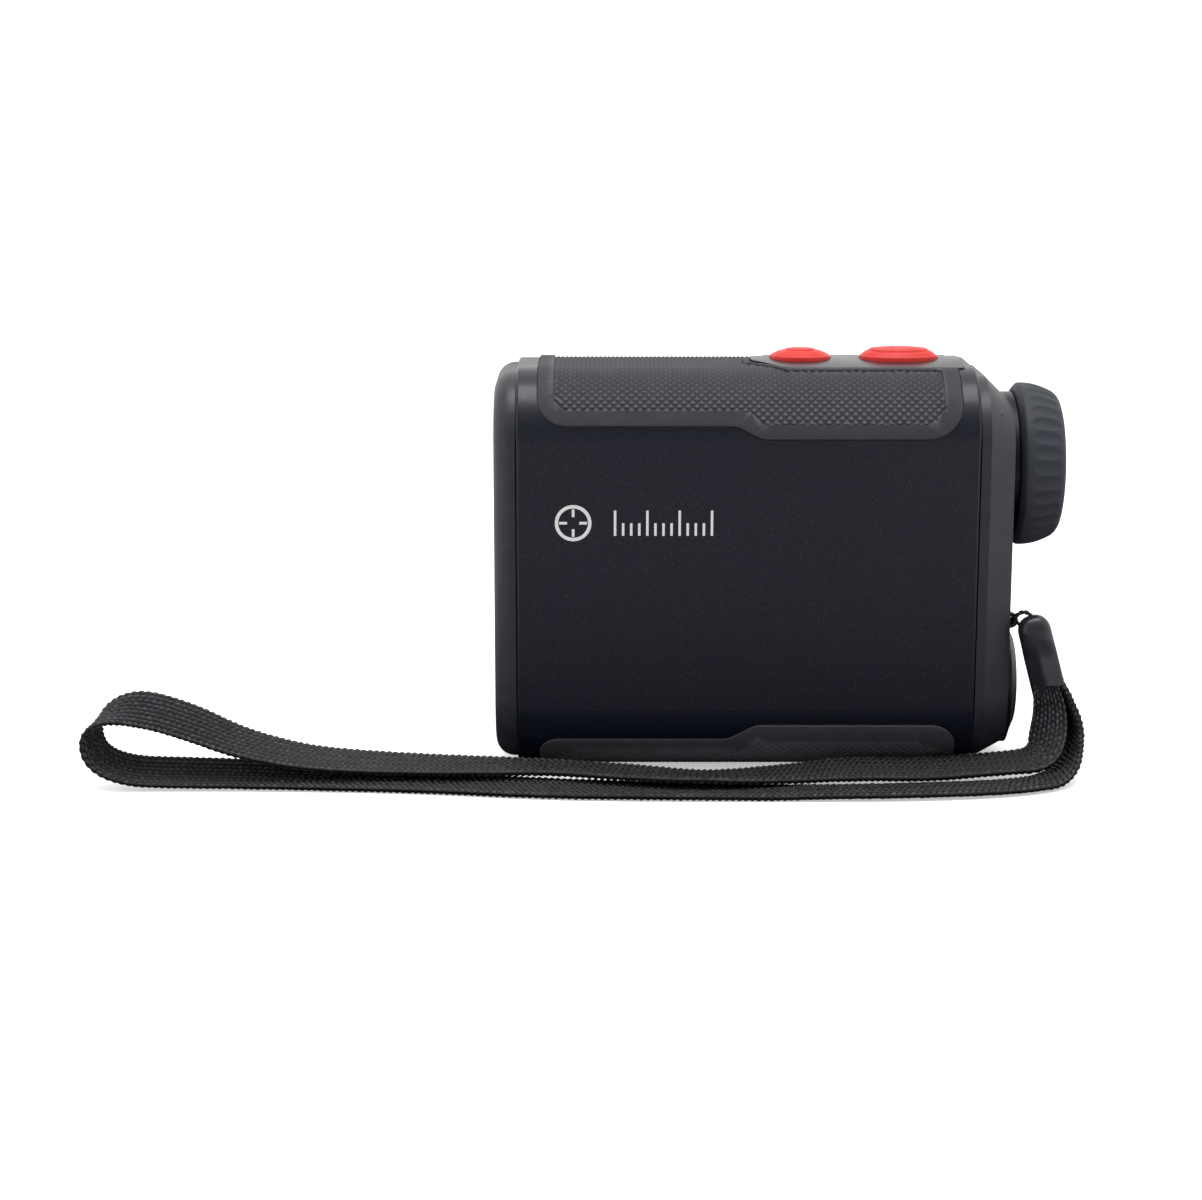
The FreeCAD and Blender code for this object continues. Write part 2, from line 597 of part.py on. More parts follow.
def make_buttons():
    make_button("mode", "Mode", "mode_x", ("mode_long", "mode_wide"), "mode_top")
    make_button("fire", "Fire", "fire_x", ("fire_long", "fire_wide"), "fire_top")
    board_top = "switch_deck+board_thick"
    switch_top = f"{board_top}+switch_tall"
    piece("switch_board", block("SwitchBoard", ("-3", "28.2"), ("-6", "6"), ("switch_deck", board_top)))
    switches = []
    for name, x in (("Mode", "mode_x"), ("Fire", "fire_x")):
        case = block(name + "Case", (f"{x}-switch_size/2", f"{x}+switch_size/2"),
                     ("-switch_size/2", "switch_size/2"), (board_top, switch_top))
        bore_heights = (f"{board_top}+0.2", f"{switch_top}+0.1")
        bore = post(name + "CaseBore", "plunger_round+0.1", x, "0", bore_heights)
        switches.append(cut(name + "Switch", case, bore))
    piece("tact_switches", group("TactSwitches", *switches))
    tray = block("SealTray", ("-3.5", "31"), ("-7.5", "7.5"), ("button_foot-0.2", INNER_TOP))
    inside = block("SealInside", ("-2.7", "30.2"), ("-6.8", "6.8"), ("button_foot+0.2", f"{INNER_TOP}+1"))
    feet = [post(name + "SealHole", "foot_round+0.15", x, "0", ("button_foot-1", "button_foot+1"))
            for name, x in (("Mode", "mode_x"), ("Fire", "fire_x"))]
    piece("button_seal", cut("ButtonSeal", tray, inside, *feet))


# ---- viewing optics ----

def make_objective():
    seat = "-41.6"
    piece("objective_barrel", turned("ObjectiveBarrel", "eye_axis", [
        (BEZEL_BACK, "objective_round"), (BEZEL_BACK, "objective_tube"), ("-17", "objective_tube"),
        ("-17", "objective_round-1.4"), (seat, "objective_round-1.4"), (seat, "objective_round")]))
    back = ball("CrownBack", "objective_curve", "-42.4-objective_curve", "eye_axis")
    front = ball("CrownFront", "objective_curve", "-47.4+objective_curve", "eye_axis")
    blank = rod("CrownBlank", "objective_round", ("-47.4", "-42.4"), "0", "eye_axis")
    piece("objective_crown_lens", common("CrownLens", blank, front, back))
    edge = value("objective_curve-sqrt(objective_curve^2-objective_round^2)")
    flint = rod("FlintBlank", "objective_round", (f"-42.4-{edge:.4f}", seat), "0", "eye_axis")
    piece("objective_flint_lens", cut("FlintLens", flint, back))
    piece("objective_retainer", turned("ObjectiveRetainer", "eye_axis", [
        ("-47.2", "objective_round-1.1"), ("-47.2", "objective_round"), ("-46.1", "objective_round"),
        ("-46.1", "objective_round-1.1")]))


def make_prisms():
    heights = ("43.4", "switch_deck")
    carrier = block("CarrierBlock", ("-17", "9"), ("-11.5", "11.5"), heights)
    inside = block("CarrierInside", ("-15.4", "7.4"), ("-12", "10"), ("46", "64.8"))
    beam = rod("CarrierBeam", "9", ("-18", "10"), "0", "eye_axis")
    piece("prism_carrier", cut("PrismCarrier", carrier, inside, beam))
    piece("prism_cover", block("PrismCover", ("-17", "9"), ("-12.7", "-11.5"), heights))
    sides = ("-9.8", "9.8")
    piece("half_prism", side_plate("HalfPrism", [
        ("-15.2", "46.2"), ("-0.4", "46.2"), ("-7.8", "64.4"), ("-15.2", "64.4")], sides))
    roof = side_plate("RoofBlock", [
        ("0.2", "46.2"), ("7.2", "46.2"), ("7.2", "64.4"), ("-7.2", "64.4")], sides)
    ridge = document.addObject("Part::Wedge", "RoofRidge")
    ridge.Placement = Placement(Vector(), Rotation(Vector(1, 0, 0), 90))
    limits = {
        "Xmin": "-10", "Xmax": "10", "X2min": "-10", "X2max": "10", "Ymin": "0", "Ymax": "5",
        "Zmin": "-roof_half", "Zmax": "roof_half", "Z2min": "-ridge_half", "Z2max": "ridge_half",
    }
    for side, text in limits.items():
        bind(ridge, side, text)
    place(ridge, "0", "0", "roof_low")
    lower = block("RoofLower", ("-10", "10"), ("-roof_half", "roof_half"), ("46", "roof_low"))
    piece("roof_prism", common("RoofPrism", roof, fuse("RoofShape", lower, ridge)))
    diode_heights = ("shelf_low+plate_thick", "43.4")
    piece("receiver_diode", post("ReceiverDiode", "diode_round", "-8", "0", diode_heights))
    piece("display_frame", turned("DisplayFrame", "eye_axis", [
        ("9", "7.5"), ("9", "tube_round"), ("14", "tube_round"), ("14", "9"), ("10.2", "9"),
        ("10.2", "7.5")]))
    piece("display_screen", rod("DisplayScreen", "8.95", ("10.2", "11.3"), "0", "eye_axis"))


def make_eyepiece():
    piece("eyepiece_tube", turned("EyepieceTube", "eye_axis", [
        ("14", "tube_bore"), ("14", "tube_round"), (REAR_FACE, "tube_round"), (REAR_FACE, "collar_round"),
        ("43.1", "collar_round"), ("43.1", "tube_round"), ("45", "tube_round"), ("45", "tube_round-0.7"),
        ("46", "tube_round-0.7"), ("46", "tube_round"), ("47.6", "tube_round"), ("47.6", "tube_bore")]))
    piece("eyepiece_o_ring", o_ring("EyepieceORing", "tube_round-0.3", "0.35", "45.5", "eye_axis"))
    piece("diopter_ring", turned("DiopterRing", "eye_axis", [
        ("43.3", "ring_bore"), ("43.3", "ring_round"), ("50.6", "ring_round"), ("50.6", "eyecup_bore"),
        ("49.6", "eyecup_bore"), ("49.6", "ring_bore")]))
    piece("eyepiece_rubber", turned("EyepieceRubber", "eye_axis", [
        ("43.3", "ring_round"), ("43.3", "rubber_round-0.4"), ("43.7", "rubber_round"),
        ("48", "rubber_round-0.15"),
        ("50.4", "rubber_round-0.8"), ("51.7", "rubber_round-1.9"), (TAIL, "rubber_round-3.4"),
        (TAIL, "eyecup_bore+1"), ("51.8", "eyecup_bore"), ("50.6", "eyecup_bore"), ("50.6", "ring_round")]))
    piece("ocular_cell", turned("OcularCell", "eye_axis", [
        ("30", "ocular_round-1.1"), ("30", "cell_round"), ("46", "cell_round"), ("46", "ocular_round"),
        ("31.2", "ocular_round"), ("31.2", "ocular_round-1.1")]))
    field = rod("FieldBlank", "ocular_round", ("31.2", "34.8"), "0", "eye_axis")
    piece("field_lens", common("FieldLens", field, ball("FieldBack", "22", "34.8-22", "eye_axis")))
    eye = rod("EyeBlank", "ocular_round", ("40.4", "45"), "0", "eye_axis")
    piece("eye_lens", common("EyeLens", eye, ball("EyeFront", "24", "40.4+24", "eye_axis"),
                             ball("EyeBack", "30", "45-30", "eye_axis")))
    for node, name, low, high in (("ocular_spacer", "OcularSpacer", "33.2", "41.85"),
                                  ("ocular_retainer", "OcularRetainer", "43.9", "45.6")):
        piece(node, turned(name, "eye_axis", [
            (low, "ocular_round-1"), (low, "ocular_round"), (high, "ocular_round"),
            (high, "ocular_round-1")]))


# ---- laser ----

def make_laser():
    piece("laser_barrel", turned("LaserBarrel", "laser_axis", [
        (BEZEL_BACK, "laser_round"), (BEZEL_BACK, "laser_tube"), ("-20", "laser_tube"),
        ("-20", "diode_round+0.05"), ("-22", "diode_round+0.05"), ("-22", "laser_round-1"),
        ("-43.4", "laser_round-1"), ("-43.4", "laser_round")]))
    blank = rod("LaserBlank", "laser_round", ("-47.2", "-43.4"), "0", "laser_axis")
    front = ball("LaserFront", "laser_curve", "-47.2+laser_curve", "laser_axis")
    piece("laser_lens", common("LaserLens", blank, front))
    piece("laser_retainer", turned("LaserRetainer", "laser_axis", [
        ("-47.2", "laser_round-0.9"), ("-47.2", "laser_round"), ("-46.1", "laser_round"),
        ("-46.1", "laser_round-0.9")]))
    can = turned("DiodeCan", "laser_axis", [
        ("-23.6", "0"), ("-23.6", "2"), ("-21.9", "2"), ("-21.9", "diode_round"), ("-19.6", "diode_round"),
        ("-19.6", "0")])
    leads = [rod(f"DiodeLead{number}", "0.25", ("-19.7", "-17.4"), y, z) for number, (y, z) in enumerate(
        (("0", "laser_axis+1.2"), ("1.1", "laser_axis-0.6"), ("-1.1", "laser_axis-0.6")), 1)]
    piece("laser_diode", fuse("LaserDiode", can, *leads))
    piece("laser_board", block("LaserBoard", ("-17.4", "-16.2"), ("-9", "9"), ("13", "31")))


# ---- electronics and battery ----

def make_electronics():
    board = block("MainBoardBlank", ("-15", "28"), ("-15.2", "15.2"), ("shelf_low-3.8", "shelf_low-2.6"))
    holes = [post(f"BoardHole{number}", "0.75", x, y, ("shelf_low-5", "shelf_low-2"))
             for number, (x, y) in enumerate(board_screw_places(), 1)]
    piece("main_board", cut("MainBoard", board, *holes))
    under = ("shelf_low-5", "shelf_low-3.8")
    chips = [
        block("Processor", ("-4", "6"), ("-5", "5"), under),
        block("PowerChip", ("10", "15"), ("-8", "-3"), under),
        block("TimerChip", ("10", "16"), ("1", "7"), under),
    ]
    piece("board_chips", group("BoardChips", *chips))
    flex_low = "switch_deck+board_thick"
    flex_top = "switch_deck+board_thick+0.2"
    rise = block("FlexRise", ("12", "22"), ("15.2", "15.4"), ("shelf_low-3.8", flex_top))
    over = block("FlexOver", ("12", "22"), ("5", "15.4"), (flex_low, flex_top))
    piece("flex_cable", fuse("FlexCable", rise, over))


def make_battery():
    back = "battery_front+battery_long"
    mouth = f"{REAR_SEAM}+1.4"
    piece("battery_sleeve", turned("BatterySleeve", "battery_axis", [
        ("9", "3"), ("9", "sleeve_round"), (mouth, "sleeve_round"), (mouth, "sleeve_bore"),
        ("10.2", "sleeve_bore"), ("10.2", "3")]))
    piece("battery", turned("Battery", "battery_axis", [
        ("battery_front-0.8", "0"), ("battery_front-0.8", "3.1"), ("battery_front", "3.1"),
        ("battery_front", "battery_round-0.6"), ("battery_front+0.6", "battery_round"),
        (f"{back}-0.6", "battery_round"), (back, "battery_round-0.6"), (back, "0")]))
    contact_span = ("8.4", "battery_front-0.8")
    piece("battery_contact", rod("BatteryContact", "2.95", contact_span, "0", "battery_axis"))
    cap_front = f"{REAR_FACE}+0.1"
    cap_back = f"{REAR_FACE}+0.1+cap_deep"
    cap = turned("CapTurned", "battery_axis", [
        ("40.8", "0"), ("40.8", "8.4"), ("37.2", "8.4"), ("37.2", "thread_round"), ("40.4", "thread_round"),
        ("40.4", "thread_round-0.85"), ("41.4", "thread_round-0.85"), ("41.4", "thread_round"),
        (cap_front, "thread_round"), (cap_front, "cap_round"), (f"{cap_front}+1.4", "cap_round"),
        (f"{cap_back}-0.9", "cap_round-1.5"), (cap_back, "cap_round-3.4"), (cap_back, "0")])
    slot = block("CoinSlot", (f"{cap_back}-1.2", f"{cap_back}+1"), ("-7.5", "7.5"),
                 ("battery_axis-0.8", "battery_axis+0.8"))
    piece("battery_cap", cut("BatteryCap", cap, slot))
    piece("cap_o_ring", o_ring("CapORing", "thread_round-0.4", "0.4", "40.9", "battery_axis"))
    make_battery_spring("38.45", "40.8")


def make_battery_spring(start, end):
    """Two open turns of wire between the battery and the cap."""
    wire = "0.35"
    coil = document.addObject("Part::Helix", "SpringCoil")
    coil.Placement = Placement(Vector(), Rotation(Vector(0, 1, 0), 90))
    bind(coil, "Radius", "battery_round-2")
    bind(coil, "Height", f"({end})-({start})-2*{wire}")
    bind(coil, "Pitch", f"(({end})-({start})-2*{wire})/2")
    place(coil, f"({start})+{wire}", "0", "battery_axis")
    ring = document.addObject("Part::Circle", "SpringWire")
    bind(ring, "Radius", wire)
    ring.Placement = Placement(Vector(), Rotation(Vector(1, 0, 0), 90))
    place(ring, f"({start})+{wire}", "0", "battery_axis-battery_round+2")
    spring = document.addObject("Part::Sweep", "BatterySpring")
    spring.Sections = [ring]
    spring.Spine = (coil, [])
    spring.Solid = True
    spring.Frenet = True
    piece("battery_spring", spring)


# ---- cords ----

def corner_arc(before, corner, after):
    """The arc that rounds one corner of a route, and its radius."""
    back = before - corner
    ahead = after - corner
    turn = math.pi - back.getAngle(ahead)
    setback = 0.45 * min(back.Length, ahead.Length)
    radius = setback / math.tan(turn / 2)
    first = corner + back.normalize() * setback
    last = corner + ahead.normalize() * setback
    inward = (first + last) * 0.5 - corner
    middle = corner + inward.normalize() * (radius / math.cos(turn / 2) - radius)
    return first, middle, last, radius


def cord_tube(node, name, route, thick):
    """A round tube on straight runs that tangent arcs join."""
    spots = [Vector(*spot) for spot in route]
    edges = []
    radii = []
    start = spots[0]
    for before, corner, after in zip(spots, spots[1:], spots[2:]):
        first, middle, last, radius = corner_arc(before, corner, after)
        edges.append(Part.LineSegment(start, first).toShape())
        edges.append(Part.Arc(first, middle, last).toShape())
        radii.append(radius)
        start = last
    edges.append(Part.LineSegment(start, spots[-1]).toShape())
    path = Part.Wire(edges)
    round_section = Part.Wire([Part.makeCircle(thick / 2, spots[0], spots[1] - spots[0])])
    tube = document.addObject("Part::Feature", name)
    tube.Shape = path.makePipeShell([round_section], True, False)
    expected = math.pi * (thick / 2) ** 2 * path.Length
    print(f"{node}: length {path.Length:.1f}, volume {tube.Shape.Volume:.1f} of {expected:.1f}, "
          f"lowest {tube.Shape.BoundBox.ZMin:.2f}")
    print("  radii", " ".join(f"{radius:.1f}" for radius in radii))
    piece(node, tube)


def make_connector():
    """A domed sleeve that crimps both ends of the strap and the thin cord."""
    sleeve = top_plate("ConnectorSleeve", [
        ("-connector_wide/2", "-connector_deep/2"), ("connector_wide/2", "-connector_deep/2"),
        ("connector_wide/2", "connector_deep/2"), ("-connector_wide/2", "connector_deep/2")],
        ("0", "connector_long"), [("connector_round", [0, 1, 2, 3])])
    crown = value("connector_long")
    round_edges(sleeve, lambda edge: edge.BoundBox.ZMin > crown - 1e-6, "connector_round-0.1")
    bore = post("ConnectorBore", "1.45", "0", "0", ("0.8", "connector_long+1"))
    connector = cut("StrapConnector", sleeve, bore)
    connector.Placement = Placement(Vector(), Rotation(Vector(0, 1, 0), -value("connector_lean")))
    piece("strap_connector", place(connector, "connector_x", "connector_y", "connector_z"))


def make_strap():
    make_connector()
    cord_tube("wrist_strap", "WristStrap", STRAP_ROUTE, value("strap_thick"))
    cord_tube("lanyard_loop", "LanyardLoop", LOOP_ROUTE, value("loop_thick"))


# ---- build, check and write ----

def check_document():
    document.recompute()
    for item in document.Objects:
        if "Invalid" in item.State or "Error" in item.State:
            raise RuntimeError(f"{item.Name} ({item.Label}) failed: {item.State}")
    for item in finished:
        shape = item.Shape
        if shape.isNull() or not shape.isValid() or not shape.Solids:
            raise RuntimeError(f"{item.Label} has no valid solid")


def write_parts():
    os.makedirs("parts", exist_ok=True)
    for item in finished:
        item.Shape.exportStep(f"parts/{item.Label}.step")
    print(f"{len(finished)} sub-parts written")


fill_sheet()
make_shells_and_grips()
make_front_bezel()
make_rear_cap()
make_chassis()
make_screws()
make_buttons()
make_objective()
make_prisms()
make_eyepiece()
make_laser()
make_electronics()
make_battery()
make_strap()
check_document()
write_parts()
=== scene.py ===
import json
import math

import bpy
import numpy as np
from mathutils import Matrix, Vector
from mathutils.geometry import delaunay_2d_cdt


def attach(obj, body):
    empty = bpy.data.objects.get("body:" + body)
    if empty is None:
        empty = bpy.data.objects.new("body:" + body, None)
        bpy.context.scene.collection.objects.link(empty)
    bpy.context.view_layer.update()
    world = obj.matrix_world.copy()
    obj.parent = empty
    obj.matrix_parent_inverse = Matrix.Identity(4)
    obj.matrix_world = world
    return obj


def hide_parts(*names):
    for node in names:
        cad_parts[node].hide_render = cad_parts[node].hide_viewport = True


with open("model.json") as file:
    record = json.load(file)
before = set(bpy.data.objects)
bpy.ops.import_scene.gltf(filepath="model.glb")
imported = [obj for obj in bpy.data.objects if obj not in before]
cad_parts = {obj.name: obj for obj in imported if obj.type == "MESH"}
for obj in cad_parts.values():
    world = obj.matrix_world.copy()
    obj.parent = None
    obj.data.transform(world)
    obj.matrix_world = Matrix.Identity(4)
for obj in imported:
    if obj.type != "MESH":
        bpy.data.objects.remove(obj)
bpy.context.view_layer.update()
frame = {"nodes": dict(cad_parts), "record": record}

# A laser rangefinder with a wrist strap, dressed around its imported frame.
# The frame, the cords' routes and the studio are in metres. The shapes are in millimetres and are scaled
# once, in new_piece. +X runs to the eyepiece, +Z is up, and the camera is on the -Y side.

MM = 0.001


# ---- camera ----

def add_camera():
    camera = bpy.data.objects.new("camera", bpy.data.cameras.new("camera"))
    camera.location = (-0.0329, -0.485, 0.1319)
    camera.rotation_euler = (math.radians(90 - 11.95), 0, 0)
    camera.data.lens = 78.8
    camera.data.sensor_width = 36
    bpy.context.scene.collection.objects.link(camera)
    bpy.context.scene.camera = camera


add_camera()


# ---- meshes ----

def new_piece(name, points, faces, finish, body="housing", replaced=(), smooth=True):
    """A closed mesh from points in millimetres, riding on a body and standing for CAD nodes."""
    mesh = bpy.data.meshes.new(name)
    mesh.from_pydata((np.asarray(points, float) * MM).tolist(), [], [list(map(int, face)) for face in faces])
    mesh.update()
    mesh.polygons.foreach_set("use_smooth", [smooth] * len(mesh.polygons))
    mesh.materials.append(finish)
    piece = bpy.data.objects.new(name, mesh)
    bpy.context.scene.collection.objects.link(piece)
    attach(piece, body)
    if replaced:
        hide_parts(*replaced)
    return piece


def sharpen(piece, degrees):
    """Keep the creases of a smooth piece that are steeper than an angle."""
    piece.data.set_sharp_from_angle(angle=math.radians(degrees))


def loft(rings, closed_along=False):
    """Points and faces of a skin over rings of equal size, its ends capped unless they join."""
    rings = np.asarray(rings, float)
    count, size = rings.shape[:2]
    faces = []
    for row in range(count if closed_along else count - 1):
        near, far = row * size, (row + 1) % count * size
        for step in range(size):
            after = (step + 1) % size
            faces.append((near + step, near + after, far + after, far + step))
    if not closed_along:
        faces.append(tuple(range(size))[::-1])
        faces.append(tuple((count - 1) * size + step for step in range(size)))
    return rings.reshape(-1, 3), faces


def circle_angles(count):
    return np.linspace(0, 2 * math.pi, count, endpoint=False)


def oval_reach(angles, along, across, power):
    """How far an outline between an oval and a rectangle reaches from its middle in each direction."""
    parts = np.abs(np.cos(angles) / along) ** power + np.abs(np.sin(angles) / across) ** power
    return parts ** (-1 / power)


def unit(rows):
    """Each row scaled to a length of one."""
    return rows / np.linalg.norm(rows, axis=1)[:, None]


# ---- cords ----

STRAP_ROUTE = [
    (0.0500, -0.0153, 0.0175), (0.0517, -0.0150, 0.0142), (0.0545, -0.0160, 0.0096),
    (0.0534, -0.0184, 0.0045), (0.0506, -0.0226, 0.0015), (0.0455, -0.0267, 0.0008),
    (0.0360, -0.0297, 0.0008), (0.0230, -0.0312, 0.0008), (0.0080, -0.0315, 0.0008),
    (-0.0090, -0.0315, 0.0008), (-0.0270, -0.0313, 0.0008), (-0.0440, -0.0303, 0.0008),
    (-0.0610, -0.0272, 0.0009), (-0.0790, -0.0255, 0.0013), (-0.0970, -0.0250, 0.0021),
    (-0.1100, -0.0251, 0.0023), (-0.1188, -0.0254, 0.0027), (-0.1243, -0.0253, 0.0054),
    (-0.1253, -0.0251, 0.0100), (-0.1222, -0.0250, 0.0138), (-0.1160, -0.0250, 0.0148),
    (-0.1070, -0.0249, 0.0120), (-0.0980, -0.0246, 0.0079), (-0.0860, -0.0240, 0.0049),
    (-0.0710, -0.0235, 0.0037), (-0.0560, -0.0237, 0.0033), (-0.0420, -0.0236, 0.0031),
    (-0.0280, -0.0266, 0.0029), (-0.0140, -0.0288, 0.0026), (0.0000, -0.0270, 0.0028),
    (0.0130, -0.0226, 0.0030), (0.0260, -0.0218, 0.0025), (0.0360, -0.0211, 0.0032),
    (0.0425, -0.0207, 0.0035), (0.0460, -0.0206, 0.0038), (0.0483, -0.0197, 0.0050),
    (0.0491, -0.0181, 0.0075), (0.0495, -0.0171, 0.0115), (0.0488, -0.0170, 0.0155),
    (0.0482, -0.0166, 0.0180),
]
# how far the braid's flat side leans at each of those points, in degrees: 0 lies flat across the loop,
# a positive lean lifts the far edge away from the loop's middle
STRAP_LEAN = [
    -50, -34, -12, -10, -6, 3, 4, 4, 3, -2, -5, -7, -9, -14, -25, -28, -28, -27, -20, 15, 46,
    42, 28, 18, 13, 8, 2, 2, -4, 6, 14, 14, 14, 14, 18, 30, 64, 86, 90, 90,
]
# how far the braid's edges curl towards the loop's middle at those points, in millimetres
STRAP_CURL = [
    0, 0, 0, 0, -0.3, -0.8, -0.9, -0.9, -0.6, 0, 0.3, 0.3, 0.3, 0.4, 0.6, 0.7, 0.7, 0.4, 0, 0, 0,
    0, 0, 0, -0.2, -0.3, -0.3, -0.3, -0.2, 0.1, 0.6, 0.6, 0.6, 0.4, 0.2, 0, 0, 0, 0, 0,
]
# how pale the flat faces' yarn is at those points, as a share of the edges': painted shade that darkens the
# faces where the strap shades itself, while the edges keep their full paleness
STRAP_FACE_SHADE = [
    0.20, 0.20, 0.20, 0.25, 0.40, 0.45, 0.45, 0.45, 0.45, 0.45, 0.45, 0.50, 0.50, 0.60, 0.60, 0.60, 0.60,
    0.75, 0.85, 0.85, 0.85, 0.80, 0.75, 0.72, 0.70, 0.60, 0.50, 0.42, 0.32, 0.26, 0.24, 0.24, 0.24, 0.26,
    0.50, 0.70, 1.00, 1.00, 1.00, 1.00,
]
LOOP_ROUTE = [
    (0.0494, -0.0160, 0.0174), (0.0479, -0.0159, 0.0224), (0.0466, -0.0160, 0.0266),
    (0.0458, -0.0158, 0.0298), (0.0440, -0.0153, 0.0305), (0.0423, -0.0147, 0.0287),
    (0.0421, -0.0114, 0.0281), (0.0441, -0.0115, 0.0274), (0.0454, -0.0145, 0.0260),
    (0.0468, -0.0159, 0.0224), (0.0482, -0.0159, 0.0172),
]

# the braid, in millimetres: a thin flat core, and over it rows of beads where the yarns cross
BRAID_WIDE = 7.7
BRAID_THICK = 0.5
BRAID_ROWS = 18
BEAD_LONG = 1.155
BEAD_HIGH = 0.52
BEAD_SLANT = 0.4
BEAD_SHIFT = 0.4
BEAD_STEPS = 4
# the crimped ends, drawn in to a share of the width, and how far along the braid is drawn in
CRIMP_SHARE = 0.56
CRIMP_LONG = 1.5
FLARE_LONG = 12
# the least height over the ground, and how many steps the values along the strap and its lift are softened by
GROUND_GAP = 0.06
SOFT_VALUES = 12
SOFT_LIFT = 25

# the loop's two round strands, in millimetres, and the side that the twist is measured from
STRAND_RADIUS = 0.3
STRAND_OFFSET = 0.13
STRAND_SIDES = 10
LOOP_TWIST = 1.9
LOOP_STEPS = 260
LOOP_SIDE = np.array([0.0, 1.0, 0.15])


def along_route(route):
    """Points of the smooth line through a route, in millimetres, and where each lies between its points."""
    curve = bpy.data.curves.new("route", "CURVE")
    curve.dimensions = "3D"
    curve.resolution_u = 40
    spline = curve.splines.new("NURBS")
    spline.points.add(len(route) - 1)
    for point, spot in zip(spline.points, route):
        point.co = (*spot, 1)
    spline.order_u = 3
    spline.use_endpoint_u = True
    carrier = bpy.data.objects.new("route", curve)
    line = bpy.data.meshes.new_from_object(carrier)
    spots = np.array([vertex.co[:] for vertex in line.vertices]) / MM
    bpy.data.objects.remove(carrier)
    bpy.data.meshes.remove(line)
    return spots, np.linspace(0, len(route) - 2, len(spots))


def step_lengths(line):
    return np.linalg.norm(np.diff(line, axis=0), axis=1)


def even_steps(spots, count, *carried):
    """A line in equal steps, how far along it each step is, and the carried values at each."""
    walked = np.concatenate([[0], np.cumsum(step_lengths(spots))])
    wanted = np.linspace(0, walked[-1], count)
    line = np.stack([np.interp(wanted, walked, spots[:, axis]) for axis in range(3)], 1)
    return line, wanted, [np.interp(wanted, walked, values) for values in carried]


def at_points(values, position):
    """Values given at a route's points, read where the smooth line is nearest to each."""
    centres = np.arange(len(values)) - 0.5
    centres[0] = 0
    centres[-1] = len(values) - 2
    return np.interp(position, centres, values)


def soften(values, reach):
    """Average each value with those up to a reach away, the near ones more than the far ones."""
    kernel = np.hanning(2 * reach + 3)[1:-1]
    padded = np.pad(values, reach, mode="edge")
    return np.convolve(padded, kernel / kernel.sum(), "valid")


def braid_outline(count):
    """Points evenly round a flat band's section, as (across, up), with the outward direction at each."""
    angle = circle_angles(4000)
    across = np.sign(np.cos(angle)) * np.abs(np.cos(angle)) ** 0.62 * BRAID_WIDE / 2
    up = np.sign(np.sin(angle)) * np.abs(np.sin(angle)) ** 0.8 * BRAID_THICK / 2
    loop = np.stack([across, up, np.zeros_like(up)], 1)
    loop = np.vstack([loop, loop[:1]])
    even = even_steps(loop, count + 1)[0][:-1, :2]
    side = np.roll(even, -1, 0) - np.roll(even, 1, 0)
    return even, unit(np.stack([side[:, 1], -side[:, 0]], 1))


def bead_rows(steps, around):
    """Height and paleness over the braid's beads: the paleness follows the height, a painted highlight on the
    tops and painted shade between the beads, with a random tone of each bead's own. The rows slant by turns,
    and no two beads are alike.
    """
    index, place = np.meshgrid(np.arange(steps), np.arange(around), indexing="ij")
    row = place // BEAD_STEPS
    across = (place % BEAD_STEPS - BEAD_STEPS / 2) / (BEAD_STEPS / 2)
    slant = np.where(row % 2, BEAD_SLANT, -BEAD_SLANT)
    along = index / BEAD_STEPS + slant * across * 0.5 + BEAD_SHIFT * (row % 2)
    number = np.floor(along).astype(int)
    chance = np.random.default_rng(7).random((number.max() + 2, BRAID_ROWS))[number + 1, row]
    along = (along - number - 0.5) * 2
    height = np.clip(1 - along ** 2, 0, 1) ** 0.75 * (1 - across ** 2 * 0.97)
    return BEAD_HIGH * height * (0.85 + 0.15 * chance), height * (0.6 + 0.4 * chance)


def make_strap(finish):
    """The wrist strap's braid: the piece, and its middle line in millimetres."""
    spots, position = along_route(STRAP_ROUTE)
    steps = int(step_lengths(spots).sum() / BEAD_LONG * BEAD_STEPS) + 1
    line, walked, (position,) = even_steps(spots, steps, position)
    lean, curl, face = (soften(at_points(values, position), SOFT_VALUES)
                        for values in (STRAP_LEAN, STRAP_CURL, STRAP_FACE_SHADE))
    lean = np.radians(lean)
    ahead = unit(np.gradient(line, axis=0))
    deep = unit(np.array([0.0, 1.0, 0.0]) - ahead * ahead[:, 1:2])
    outward = np.cross(ahead, deep)
    across = deep * np.cos(lean)[:, None] + outward * np.sin(lean)[:, None]
    up = np.cross(across, ahead)
    nearest_end = np.minimum(walked, walked[-1] - walked)
    narrow = CRIMP_SHARE + (1 - CRIMP_SHARE) * np.clip((nearest_end - CRIMP_LONG) / FLARE_LONG, 0, 1) ** 0.7
    around = BRAID_ROWS * BEAD_STEPS
    outline, facing = braid_outline(around)
    from_middle = outline[None, :, 0] / (BRAID_WIDE / 2)
    bumps, tones = bead_rows(steps, around)
    side = outline[None, :, 0] * narrow[:, None] + facing[None, :, 0] * bumps
    rise = outline[None, :, 1] + facing[None, :, 1] * bumps
    rise += curl[:, None] * (from_middle ** 2 - 0.3)
    rings = line[:, None] + across[:, None] * side[..., None] + up[:, None] * rise[..., None]
    sunk = np.maximum(0, GROUND_GAP - rings[:, :, 2].min(1))
    lift = np.maximum(soften(sunk, SOFT_LIFT), sunk)
    rings[:, :, 2] += lift[:, None]
    line[:, 2] += lift
    points, faces = loft(rings)
    strap = new_piece("wrist_strap_braid", points, faces, finish, replaced=["wrist_strap"])
    bead_shade_and_tone = strap.data.attributes.new("bead_shade_and_tone", "FLOAT", "POINT")
    # painted shade: the flat faces' yarn is darkened by the share given at each point, and the edges keep
    # their full paleness
    edge = np.abs(from_middle) ** 4
    bead_shade_and_tone.data.foreach_set("value", (tones * (face[:, None] + (1 - face[:, None]) * edge)).ravel())
    return strap, line


